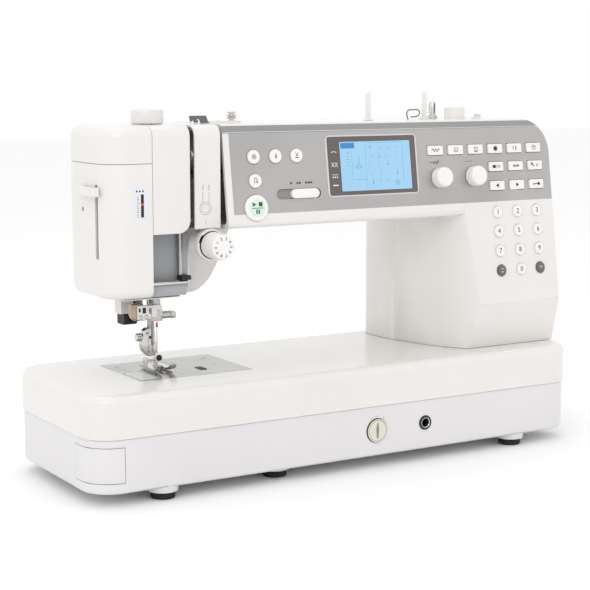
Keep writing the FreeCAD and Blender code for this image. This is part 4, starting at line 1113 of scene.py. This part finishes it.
@dataclass
class Display:
    """The display: rim, screen and what is drawn on it."""

    shop: Workshop
    middle: Flat = (38.85, 246.6)
    screen: Flat = (41.9, 246.0)
    signs: Flat = (1.2, 246.0)

    def build(self) -> None:
        """Make the display's pieces."""
        x, level = self.middle
        rise = reach_of("lcd_window")
        outer, inner = round_rect(90.4, 50.4, 4.4), round_rect(86.6, 46.8, 3.2)
        # The rim is in the lighter lacquer: painted highlight of its rounded edge.
        self.shop.rim("display_rim", outer, inner, 0.55, on_front(x, level, -0.1), PAINTED_HIGHLIGHT_SILVER, "machine")
        screen = on_front(*self.screen, rise)
        self.shop.plate("display_screen", round_rect(69.6, 40.4, 0.6, 2), 0.1, screen, LCD_GLASS, "machine")
        ink = raised(screen, 0.1)
        tab = [round_rect(13.5, 4.6, 0.6, 2, -27.2, 17.0)]
        self.shop.prints("display_tab", tab, ink, LCD_DARK, "machine", 0.03)
        self.shop.prints("display_drawing", self.drawing(), ink, LCD_INK, "machine", 0.03)
        self.window_icons(rise)

    def drawing(self) -> list[list[Flat]]:
        """Faint lines of the display: column rules, a presser foot, sample stitches and values.

        Returns:
            Outlines in millimetres from the screen's middle.
        """
        marks = [bar((-10.0, -19.0), (-10.0, 17.5), 0.16), bar((27.0, -15.0), (27.0, 19.0), 0.16),
                 bar((-23.5, -15.0), (-23.5, 13.0), 0.14), bar((-10.0, 19.0), (27.0, 19.0), 0.16)]
        marks += stroke([(-17.0, 9.0), (-17.0, 1.0)], 0.3) + stroke([(-19.6, 0.5), (-14.4, 0.5)], 0.3)
        marks += stroke([(-19.6, 0.5), (-19.6, -1.5), (-14.4, -1.5), (-14.4, 0.5)], 0.3)
        for step in range(5):
            marks += [bar((-21.0 + step * 2.4, -11.0), (-19.8 + step * 2.4, -11.0), 0.5)]
            marks += [bar((-28.5, 11.0 - step * 2.6), (-25.5 - step % 2, 11.0 - step * 2.6), 0.3)]
        for row in range(5):
            for column in range(4):
                x = -5.0 + column * 8.6 + 1.2 * math.sin(row * 2.1 + column)
                y = 15.0 - row * 7.0 + 0.8 * math.cos(row + column * 1.7)
                if (row * 3 + column) % 4 == 0:
                    marks += stroke([(x, y + 2.6), (x, y - 1.0)], 0.25)
                    marks += stroke([(x - 1, y), (x, y - 1.4), (x + 1, y)], 0.25)
                else:
                    marks += stroke([(x - 0.7, y - 0.7), (x + 0.7, y + 0.7)], 0.3)
        marks += ring_strokes(1.7, 0.3, 20.5, -14.6, 16)
        return marks

    def window_icons(self, rise: float) -> None:
        """Small white signs printed at the left of the window.

        Args:
            rise: How far in millimetres the window stands out of the front.
        """
        signs = stroke([(-2.6, 11.6), (-1.0, 12.4), (1.0, 12.4), (2.6, 11.6)], 0.5)
        signs += stroke([(-2.8, 3.6), (-0.4, 0.0)], 0.45) + stroke([(-2.8, 0.0), (-0.4, 3.6)], 0.45)
        signs += stroke([(0.4, 3.6), (2.8, 0.0)], 0.45) + stroke([(0.4, 0.0), (2.8, 3.6)], 0.45)
        signs += stroke([(-2.8, -6.4), (2.8, -6.4)], 0.4)
        signs += [disc(0.65, -2.0, -8.4, 10), disc(0.65, 0.0, -8.4, 10), disc(0.65, 2.0, -8.4, 10)]
        signs += stroke([(-2.6, -15.0), (2.6, -15.0)], 0.9)
        self.shop.prints("window_signs", signs, on_front(*self.signs, rise), WHITE_INK, "machine", 0.05)


@dataclass
class Head:
    """Needle head: scale label, tension dial, recess, signs and the pressure dial."""

    shop: Workshop
    dial: Point = (-113.0, -46.0, 189.0)
    pressure_seat: Point = (-145.5, 0.0, 282.0)
    arm_end_x: float = -124.6

    def build(self) -> None:
        """Make the head's pieces."""
        self.tension()
        self.tension_sign()
        self.scale_label()
        self.recess()
        self.arm_end()
        self.pressure()
        self.side_details()

    def tension(self) -> None:
        """Collar and numbered dial of the thread tension."""
        x, y, z = self.dial
        collar = [(9.2, -6.0), (12.6, -6.0), (12.6, -0.8), (12.0, 0.0), (9.2, 0.0), (9.2, -6.0)]
        self.shop.turned("tension_collar", collar, facing_front(x, y, z), SHELL_ABS, "machine", steps=96)
        # A ring of black in the gap between collar and dial: painted shade.
        gap = [(9.0, -5.6), (11.0, -5.6), (11.0, 0.12), (10.3, 0.12), (9.0, 0.05), (9.0, -5.6)]
        self.shop.turned("tension_gap", gap, facing_front(x, y, z), BLACK_NYLON_AND_PAINTED_SHADE, "machine", steps=64)
        # The notch in the collar is a thin black sheet: painted shade.
        notch = [(-10.0, 3.0), (-9.0, 5.2), (-7.4, 7.2), (-8.6, 8.4), (-10.2, 6.4), (-11.4, 4.0),
                 (-11.9, 1.8)]
        self.shop.plate("tension_notch", notch, 0.12, facing_front(x, y, z), BLACK_NYLON_AND_PAINTED_SHADE, "machine")
        profile = [(0, -12.0), (3.0, -12.0), (3.0, 0.4), (9.7, 0.4), (10.4, 1.0), (10.4, 15.6), (9.5, 18.4),
                   (8.9, 18.9), (0, 19.0)]
        self.shop.turned("tension_dial_grip", profile, facing_front(x, y, z), KEY_ABS, "tension",
                         ("tension_dial",), steps=120, ribs=60, rib_depth=0.22, rib_band=(1.0, 15.6))
        # The numerals run clockwise, a tenth of a turn apart, with 3 at the upper right.
        marks = []
        for value in range(10):
            turn = math.radians(72 - 36 * (value - 3))
            marks.append((str(value), 6.7 * math.cos(turn), 6.7 * math.sin(turn), math.degrees(turn) - 90))
        at = facing_front(x, y - 19.0, z)
        self.shop.digits("tension_dial_digits", marks, 2.3, at, BLACK_INK_AND_PAINTED_SHADE, "tension")

    def tension_sign(self) -> None:
        """Line drawing of the dial on the tension cover, with two leader lines and two plain signs."""
        outlines = ring_strokes(5.0, 0.35, -117.0, 217.6) + ring_strokes(3.4, 0.25, -117.0, 217.6)
        outlines += [bar((-119.4, 222.2), (-119.4, 230.5), 0.3), bar((-113.9, 221.4), (-113.9, 230.0), 0.3),
                     bar((-116.8, 205.6), (-116.8, 208.4), 0.35)]
        outlines += stroke([(-120.0, 234.4), (-119.0, 232.2), (-119.0, 236.2)], 0.35)
        outlines += stroke([(-114.6, 236.0), (-113.2, 234.8), (-114.4, 233.8), (-113.2, 232.4),
                            (-114.6, 231.6)], 0.35)
        self.shop.draped("tension_sign", outlines, "tension_cover", GREY_INK_AND_PAINTED_SHADE, "machine", 0.06)

    def scale_label(self) -> None:
        """Film label with ticks and the slot of the presser pressure pointer."""
        strips = [[(x, 211.0), (x + 1.8, 211.0), (x + 1.8, 237.0), (x, 237.0)] for x in
                  (-178.8, -177.0, -175.2, -173.4, -171.6, -169.8, -168.0)]
        self.shop.draped("scale_label", strips, "face_cover", LABEL_FILM, "face", 0.06)
        marks = [[(x - 0.8, 233.0), (x, 232.0), (x + 0.8, 233.0), (x, 234.0)]
                 for x in (-175.6, -173.0, -170.4)]
        marks += [bar((-175.4, 213.5 + 1.7 * step), (-173.6 - 0.5 * (step % 2), 213.5 + 1.7 * step), 0.35)
                  for step in range(10)]
        self.shop.draped("scale_ticks", marks, "face_cover", BLACK_INK_AND_PAINTED_SHADE, "face", 0.14)
        # The pointer's slot is a thin black film: painted shade.
        slot = [[(-172.2, 213.0), (-169.8, 213.0), (-169.8, 230.6), (-172.2, 230.6)]]
        self.shop.draped("scale_slot", slot, "face_cover", BLACK_NYLON_AND_PAINTED_SHADE, "face", 0.14)
        pointer = [[(-172.2, 222.0), (-169.8, 222.0), (-169.8, 223.8), (-172.2, 223.8)]]
        self.shop.draped("scale_pointer", pointer, "face_cover", RED_INK, "face", 0.2)

    def recess(self) -> None:
        """Rod, bar, lower plate and thread plate in the metal recess under the take-up cover."""
        rod = [(-131.0, -26.0, level) for level in (152.0, 175.0, 198.0)]
        self.shop.wire("recess_rod", rod, 1.9, GROUND_STEEL, "machine")
        self.shop.plate("recess_wall", round_rect(5.0, 44.0, 0.4, 2), 3.2, facing_front(-126.6, -22.5, 176.0),
                        GREY_ENAMEL, "machine", edge=0.3)
        cross = [(x, -31.0, 159.4) for x in (-161.0, -145.0, -127.5)]
        self.shop.wire("recess_bar", cross, 1.7, NICKEL, "machine")
        stops = (("left", -160.6, 160.6, 3.6, 6.4), ("lower", -161.6, 153.6, 2.6, 3.4),
                 ("right", -129.4, 163.0, 8.0, 3.6))
        for name, x, level, wide, tall in stops:
            self.shop.plate(f"recess_stop_{name}", round_rect(wide, tall, 0.8), 9.2,
                            facing_front(x, -25.0, level), BLACK_NYLON_AND_PAINTED_SHADE, "machine", edge=0.4)
        self.shop.plate("recess_lower_plate", round_rect(34.0, 8.6, 1.0), 8.0,
                        facing_front(-144.6, -22.4, 153.4), GREY_ENAMEL, "machine", edge=0.5)
        self.shop.plate("thread_plate", round_rect(49.0, 19.0, 2.4), 0.9, upright(-156.6, -20.0, 147.6),
                        NICKEL, "machine", edge=0.25)

    def arm_end(self) -> None:
        """White moulding that closes the arm's left end over the casting, right of the recess."""
        self.shop.skin("arm_end_moulding", "head_frame", self.arm_end_x, 0.3, SHELL_ABS, "machine")

    def pressure(self) -> None:
        """Smooth round dial on top of the head."""
        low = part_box("pressure_dial")[0].z / MM - self.pressure_seat[2]
        profile = [(0, low), (5, low), (5, 0.4), (12.2, 0.4), (12.9, 1.2), (12.9, 9.6), (12.2, 11.2),
                   (10.6, 11.8), (0, 12.0)]
        self.shop.turned("pressure_dial_cap", profile, upright(*self.pressure_seat), SHELL_ABS, "pressure",
                         ("pressure_dial",), steps=96)

    def side_details(self) -> None:
        """Screw hole plug on the left face of the head."""
        spot = frame["nodes"]["face_cover"].ray_cast(place(-260.0, 0.4, 217.7), Vector((1.0, 0.0, 0.0)))[1]
        at = Matrix.Translation(spot) @ Matrix.Rotation(-math.pi / 2, 4, "Y")
        self.shop.turned("face_screw", [(0, -1.0), (2.0, -1.0), (2.0, 0.1), (1.6, 0.16), (0, 0.05)], at,
                         GREY_ENAMEL, "face", steps=32)
        # The screw's slot is a black print: painted shade.
        self.shop.prints("face_screw_slot", [bar((-1.2, 0), (1.2, 0), 0.5)],
                         raised(at, 0.12), BLACK_INK_AND_PAINTED_SHADE, "face", 0.06)


@dataclass
class NeedleArea:
    """Needle clamp, presser ankle and presser foot."""

    shop: Workshop
    needle: Flat = (-140.6, -2.5)
    clamp_level: float = 134.0
    rod_y: float = 9.0
    rod_foot: float = 104.0
    holder_level: float = 110.0
    lifter_pivot: Point = (-153.4, 20.0, 140.0)
    handle_x: float = -159.0
    block_x: float = -163.8
    sole_level: float = 87.0

    def build(self) -> None:
        """Make the pieces round the needle."""
        self.clamp()
        self.ankle()
        self.lifter()
        self.foot()

    def clamp(self) -> None:
        """Needle clamp with its screw, and the threader unit beside it."""
        x, y = self.needle
        level = self.clamp_level
        outline = [(-6.4, -5.4), (2.2, -5.4), (3.2, -3.4), (3.2, 3.6), (1.6, 5.6), (-5.0, 5.6), (-6.4, 3.4)]
        self.shop.plate("needle_clamp", outline, 8.4, facing_front(x, y + 4.0, level), NICKEL, "needle_rod",
                        edge=0.7)
        body = [(-22.6, -2.4), (-21.2, -5.4), (-18.4, -7.2), (-14.4, -7.4), (-12.2, -6.0), (-12.2, 6.4),
                (-22.6, 6.4)]
        self.shop.plate("threader_body", body, 6.0, facing_front(x, y + 4.4, level), WARM_NICKEL,
                        "needle_rod", edge=1.2)
        hook = [(-18.6, -5.6), (-15.4, -7.2), (-10.0, -6.6), (-5.4, -6.0), (-5.0, -2.0), (-8.0, -1.0),
                (-8.4, 2.0), (-5.4, 3.0), (-5.4, 5.4), (-18.6, 5.4)]
        self.shop.plate("threader_bracket", hook, 2.0, facing_front(x, y - 1.4, level), NICKEL, "needle_rod",
                        edge=0.5)
        front = y - 3.4
        # The bracket's windows are black prints: painted shade of the holes.
        windows = [round_rect(3.0, 4.6, 0.6, 3, -12.4, 1.2), round_rect(1.6, 3.0, 0.4, 3, -16.4, 1.6)]
        self.shop.prints("threader_bracket_slots", windows, facing_front(x, front, level), BLACK_NYLON_AND_PAINTED_SHADE,
                         "needle_rod")
        rivet = [(0, -0.4), (1.7, -0.4), (1.7, 0.5), (1.1, 1.1), (0, 1.3)]
        for index, (dx, dz) in enumerate(((-15.6, -4.2), (-10.4, -4.2), (-7.0, 4.0)), 1):
            self.shop.turned(f"threader_rivet_{index}", rivet, facing_front(x + dx, front, level + dz),
                             NICKEL, "needle_rod", steps=24)
        screw = [(0, 0), (1.5, 0), (1.5, 9.4), (2.7, 9.8), (2.9, 10.4), (2.9, 13.6), (2.3, 14.2), (0, 14.4)]
        at = facing(place(x + 1.6, y - 1.0, level - 4.8), Vector((1.0, 0.0, 0.05)))
        self.shop.turned("needle_clamp_screw", screw, at, NICKEL, "needle_rod", steps=48, ribs=14,
                         rib_depth=0.4, rib_band=(10.4, 13.6))
        mark = [(0, 0), (0.95, 0), (0.95, 3.2), (0, 3.2)]
        self.shop.turned("needle_red_mark", mark, upright(x, y, level - 13.6), RED_INK, "needle_rod",
                         steps=24)

    def ankle(self) -> None:
        """Presser bar and foot holder with its thumb screw."""
        x, y, level = self.needle[0], self.rod_y, self.holder_level
        rod = [(0, 0), (2.8, 0), (3.0, 0.3), (3.0, 148.6), (2.6, 149.0), (0, 149.0)]
        self.shop.turned("presser_rod_post", rod, upright(x, y, self.rod_foot), GROUND_STEEL, "presser_rod",
                         ("presser_bar",), steps=48)
        outline = [(-9.2, -1.0), (-9.6, -4.6), (-8.2, -9.6), (-5.6, -12.6), (-3.4, -14.4), (3.2, -14.4),
                   (3.2, 5.6), (1.0, 8.4), (-4.4, 8.8), (-7.2, 6.6)]
        self.shop.plate("foot_holder", outline, 5.4, facing_front(x, y + 2.6, level), NICKEL, "presser_rod",
                        edge=0.9)
        self.shop.plate("foot_holder_plate", round_rect(3.6, 8.4, 0.8, 4, 2.4, -7.4), 1.6,
                        facing_front(x, y - 2.6, level), NICKEL, "presser_rod", edge=0.4)
        # The holder's sockets are black prints: painted shade of the holes.
        sockets = [disc(1.3, -1.6, 1.0, 20), disc(0.8, -4.6, 4.6, 16)]
        self.shop.prints("foot_holder_sockets", sockets, facing_front(x, y - 2.8, level), BLACK_NYLON_AND_PAINTED_SHADE,
                         "presser_rod")
        screw = [(0, 0), (1.8, 0), (1.8, 1.0), (3.1, 1.3), (3.3, 1.9), (3.3, 5.2), (2.7, 5.8), (0, 6.0)]
        at = facing(place(x - 7.6, y - 0.6, level + 1.6), Vector((-1.0, 0.0, 0.0)))
        self.shop.turned("foot_holder_screw", screw, at, NICKEL, "presser_rod", steps=60, ribs=18,
                         rib_depth=0.35, rib_band=(1.9, 5.2))

    def lifter(self) -> None:
        """Presser lifter: a pressed arm, its white block and the rounded black handle."""
        x, y, level = self.lifter_pivot
        arm = [(-3.0, -17.0), (3.0, -17.0), (4.0, -8.0), (3.6, 1.6), (2.0, 3.6), (-2.0, 3.6), (-3.6, 1.6)]
        self.shop.plate("lifter_arm", arm, 3.0, facing_right(x, y, level), BLACK_NYLON_AND_PAINTED_SHADE, "lifter",
                        ("lifter_lever",), edge=0.4)
        self.shop.plate("lifter_handle", round_rect(13.0, 9.6, 1.6, 6, 6.2, -14.8), 12.0,
                        facing_right(self.handle_x, y, level), BLACK_NYLON_AND_PAINTED_SHADE, "lifter", edge=1.0)
        self.shop.plate("lifter_block", round_rect(12.0, 13.4, 1.6, 6, 0.4, -3.2), 11.0,
                        facing_right(self.block_x, y, level), SHELL_ABS, "lifter", edge=1.0)

    def foot(self) -> None:
        """Zigzag foot with two curled toes, its crossbar and black button."""
        x, pin_y = self.needle[0], 8.0
        side = [(12.3, 88.7), (-2.0, 88.7), (-10.6, 88.6), (-14.4, 89.2), (-17.2, 90.6), (-19.0, 92.5),
                (-20.0, 91.8), (-18.4, 89.4), (-15.6, 87.8), (-11.0, 86.95), (12.3, 86.95)]
        for name, start, replaced in (("left", -8.6, ("presser_foot",)), ("right", 3.4, ())):
            self.shop.plate(f"foot_toe_{name}", side, 5.4, facing_right(x + start, 0.0, 0.0), NICKEL, "foot",
                            replaced, edge=0.3)
        sole = round_rect(8.0, 10.6, 0.8, 4, -0.2, 6.6)
        self.shop.plate("foot_sole", sole, 1.6, upright(x, 0.0, self.sole_level), NICKEL, "foot", edge=0.3)
        for name, dx in (("left", -5.6), ("right", 3.6)):
            self.shop.plate(f"foot_post_{name}", round_rect(2.0, 6.0, 0.8, 4), 6.0,
                            upright(x + dx, pin_y, self.sole_level + 1.5), NICKEL, "foot", edge=0.5)
        pin = [(x + dx, pin_y, self.sole_level + 5.0) for dx in (-6.8, 0.0, 5.2)]
        self.shop.wire("foot_pin", pin, 0.9, NICKEL, "foot")
        button = [(0, 0), (2.4, 0), (2.5, 0.8), (2.3, 2.0), (1.4, 2.6), (0, 2.8)]
        at = facing(place(x + 5.2, pin_y - 2.0, self.sole_level + 6.6), Vector((0.35, -1.0, 0.2)))
        self.shop.turned("foot_button", button, at, BLACK_NYLON_AND_PAINTED_SHADE, "foot", steps=40)


@dataclass
class TopDeck:
    """What stands on top of the arm."""

    shop: Workshop
    deck: float = 282.0
    hook_guide: Flat = (-100.8, -0.4)
    guide_plate_x: float = -76.5
    discs_x: float = -70.0
    blade: Flat = (168.0, -14.0)
    winder: Flat = (137.0, 9.0)

    def build(self) -> None:
        """Make the pieces of the top."""
        self.thread_guide()
        self.wire_guide()
        self.cutter()
        self.spindle()

    def thread_guide(self) -> None:
        """Sheet-metal hook, oval plate with its slot, and the pre-tension discs."""
        outline = [(-7.2, 1.2), (-8.2, 5.8), (6.4, 5.8), (9.2, -0.6), (2.2, -0.6), (1.2, 2.6), (-1.4, 3.6),
                   (-2.0, 2.6), (-0.4, 1.8), (-0.6, 0.8), (-3.6, 0.6), (-4.8, 2.6)]
        self.shop.plate("hook_guide", outline, 1.2, facing_front(*self.hook_guide, self.deck), DARK_METAL,
                        "machine", ("thread_guide",), edge=0.2)
        thick = 1.6
        at = upright(self.guide_plate_x, 0.0, self.deck)
        self.shop.plate("guide_plate", ellipse(15.0, 6.6), thick, at, SHELL_ABS, "machine", edge=0.7)
        # The slot is a thin black sheet on the plate: painted shade.
        slot = round_rect(7.0, 0.9, 0.4, 3, -8.0, -2.6)
        self.shop.plate("guide_plate_slot", slot, 0.1, raised(at, thick), BLACK_NYLON_AND_PAINTED_SHADE, "machine")
        discs = [(0, 0), (2.2, 0), (2.2, 1.6), (4.3, 2.0), (4.3, 2.6), (3.0, 3.1), (3.0, 3.7), (4.3, 4.2),
                 (4.3, 4.8), (2.0, 5.2), (2.0, 5.8), (3.4, 6.1), (3.4, 7.2), (2.9, 7.6), (0, 7.6)]
        self.shop.turned("pretension_discs", discs, upright(self.discs_x, 0.0, self.deck + 1.4), NICKEL,
                         "machine")

    def wire_guide(self) -> None:
        """Bent wire loop that leads the winding thread."""
        points = [(105.0, 0.0, 281.6), (102.4, 0.0, 286.0), (104.6, 0.0, 290.4), (110.0, 0.0, 290.2),
                  (116.0, 0.0, 290.4), (117.2, 0.0, 286.6), (113.6, -0.6, 284.0), (107.0, -0.8, 284.0)]
        self.shop.wire("winder_wire_guide", points, 0.6, DARK_METAL, "machine")

    def cutter(self) -> None:
        """Thread cutter beside the winder."""
        x, y = self.blade
        base = [(0, 0), (4.4, 0), (4.4, 1.6), (3.8, 2.2), (0, 2.2)]
        self.shop.turned("cutter_base", base, upright(x, y, self.deck - 0.3), SHELL_ABS, "machine", steps=40)
        blade = [(-3.0, 0), (3.4, 0), (3.4, 1.9), (0.6, 2.6), (-3.0, 2.6)]
        self.shop.plate("cutter_blade", blade, 1.0, facing_front(x, y - 1.0, self.deck + 1.7), NICKEL,
                        "machine", edge=0.2)

    def spindle(self) -> None:
        """Slotted winder spindle with its drive pin collar."""
        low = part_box("winder_spindle")[0].z / MM - self.deck
        profile = [(0, low), (2.4, low), (2.4, 0.2), (4.8, 0.3), (4.8, 2.6), (3.0, 3.2), (3.0, 13.0),
                   (2.3, 14.6), (0, 15.0)]
        at = upright(*self.winder, self.deck)
        self.shop.turned("winder_spindle_post", profile, at, NICKEL, "winder", ("winder_spindle",), steps=48)
        # The three slits are thin black sheets on the post: painted shade.
        for index in range(3):
            slit = at @ Matrix.Rotation(math.radians(-90 + 120 * index), 4, "Z")
            slit = slit @ Matrix.Translation((2.98 * MM, 0, 9.0 * MM)) @ Matrix.Rotation(math.pi / 2, 4, "Y")
            self.shop.plate(f"winder_slit_{index + 1}", round_rect(9.0, 1.0, 0.4, 3), 0.06, slit, BLACK_NYLON_AND_PAINTED_SHADE,
                            "winder")


@dataclass
class DriveEnd:
    """Hand wheel and power socket at the right end."""

    shop: Workshop
    hub: Point = (216.0, 6.0, 243.0)
    pin_ys: Flat = (30.5, 37.5)
    pin_level: float = 31.0

    def build(self) -> None:
        """Make the pieces of the right end."""
        profile = [(0, 0.4), (25.6, 0.4), (26.6, 1.2), (26.9, 3.0), (26.9, 14.5), (26.2, 17.0), (24.0, 18.9),
                   (19.6, 19.9), (17.0, 20.0), (16.4, 19.2), (14.4, 19.2), (13.6, 20.6), (8.0, 21.7),
                   (0, 21.9)]
        at = facing(place(*self.hub), Vector((1.0, 0.0, 0.0)))
        self.shop.turned("handwheel_grip", profile, at, SHELL_ABS, "drive", ("handwheel",), steps=180,
                         ribs=45, rib_depth=0.5, rib_band=(3.0, 14.5))
        for index, y in enumerate(self.pin_ys, 1):
            pin = [(x, y, self.pin_level) for x in (222.5, 225.5, 228.5)]
            self.shop.wire(f"inlet_pin_{index}", pin, 1.1, NICKEL, "machine")


@dataclass
class Studio:
    """Plain pale floor, soft lights and the camera.

    Each lamp has its name, its place in metres, its size in metres and its power in watts. The plain
    view transform keeps the white covers as bright as their paint.
    """

    camera_at: Vector = field(default_factory=lambda: Vector((-0.67602, -1.10036, 0.32077)))
    camera_turn: tuple[float, float, float] = (81.833, 0.0, -31.072)
    lens_mm: float = 93.886
    sensor_mm: float = 36.0
    aim: Vector = field(default_factory=lambda: Vector((0.0, 0.0, 0.12)))
    lamps: tuple[tuple[str, Point, float, float], ...] = (
        ("key", (-1.2, -1.3, 1.3), 0.9, 5.0), ("fill", (1.6, -1.2, 0.9), 1.4, 0.8),
        ("top", (-0.2, 0.2, 1.6), 1.2, 3.0))

    def build(self) -> None:
        """Set up floor, lights and camera."""
        self.floor()
        self.lights()
        self.camera()

    def floor(self) -> None:
        """One large pale sheet under the machine."""
        mesh = bmesh.new()
        bmesh.ops.create_grid(mesh, x_segments=1, y_segments=1, size=6.0)
        data = bpy.data.meshes.new("studio_floor")
        mesh.to_mesh(data)
        mesh.free()
        sheet = bpy.data.objects.new("studio_floor", data)
        sheet.location.z = -0.0002
        bpy.context.collection.objects.link(sheet)
        data.materials.append(STUDIO_PAPER.build())

    def lights(self) -> None:
        """A broad key from the left front, a fill from the right and one from above."""
        world = bpy.data.worlds.new("studio_world")
        bpy.context.scene.world = world
        world.use_nodes = True
        sky = world.node_tree.nodes["Background"]
        sky.inputs["Color"].default_value = (1.0, 1.0, 1.0, 1.0)
        sky.inputs["Strength"].default_value = 1.0
        bpy.context.scene.view_settings.view_transform = "Standard"
        for name, spot, size, power in self.lamps:
            lamp = bpy.data.lights.new(f"{name}_light", "AREA")
            lamp.size = size
            lamp.energy = power
            holder = bpy.data.objects.new(f"{name}_light", lamp)
            holder.location = spot
            holder.rotation_euler = (self.aim - Vector(spot)).to_track_quat("-Z", "Y").to_euler()
            bpy.context.collection.objects.link(holder)

    def camera(self) -> None:
        """Camera at the angle of a catalogue view."""
        data = bpy.data.cameras.new("catalogue_camera")
        data.lens = self.lens_mm
        data.sensor_width = self.sensor_mm
        holder = bpy.data.objects.new("catalogue_camera", data)
        holder.location = self.camera_at
        holder.rotation_euler = Euler([math.radians(turn) for turn in self.camera_turn])
        bpy.context.collection.objects.link(holder)
        bpy.context.scene.camera = holder


STITCH_KEYS = tuple(f"stitch_key_{index}" for index in range(1, 13))
FUNCTION_KEYS = tuple(f"function_key_{index}" for index in range(1, 5))
DRESSES = (
    Dress(SHELL_ABS, 0.9, ("bed_upper_cover",)),
    Dress(SHELL_ABS, 0.6, ("housing_front", "housing_rear", "top_cover", "head_cap", "take_up_cover",
                           "tension_cover", "face_cover", "threader_lever", "spool_pin_left",
                           "spool_pin_right")),
    Dress(BASE_ABS, 0.6, ("base_lower_cover", "corner_door")),
    Dress(PANEL_SILVER, 0.25, ("control_panel",)),
    Dress(TINTED_ACRYLIC, 0.3, ("lcd_window",)),
    Dress(KEY_ABS, 0.45, ("start_stop_key", "number_keypad") + STITCH_KEYS + FUNCTION_KEYS),
    Dress(GREY_ENAMEL, 0.4, ("head_frame",)),
    Dress(GROUND_STEEL, 0.15, ("needle_plate", "feed_dog", "needle_bar", "main_shaft", "take_up_lever")),
    Dress(NICKEL, 0.1, ("needle",)),
    Dress(BLACK_NYLON_AND_PAINTED_SHADE, 0.3, ("bobbin_case", "rotary_hook", "power_inlet", "power_switch",
                          "knee_lift_socket")),
    Dress(CLEAR_ACRYLIC, 0.2, ("hook_cover", "bobbin")),
    Dress(FOOT_RUBBER, 0.6, ("rubber_feet",)),
)


def main() -> None:
    """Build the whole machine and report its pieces."""
    shop = Workshop()
    for part in (Shells(DRESSES), Base(shop), Panel(shop), Display(shop), Head(shop), NeedleArea(shop),
                 TopDeck(shop), DriveEnd(shop), Studio()):
        known = len(shop.made)
        part.build()
        for piece in shop.made[known:]:
            log.info("%s: %s", type(part).__name__, piece.name)


if __name__ == "__main__":
    main()
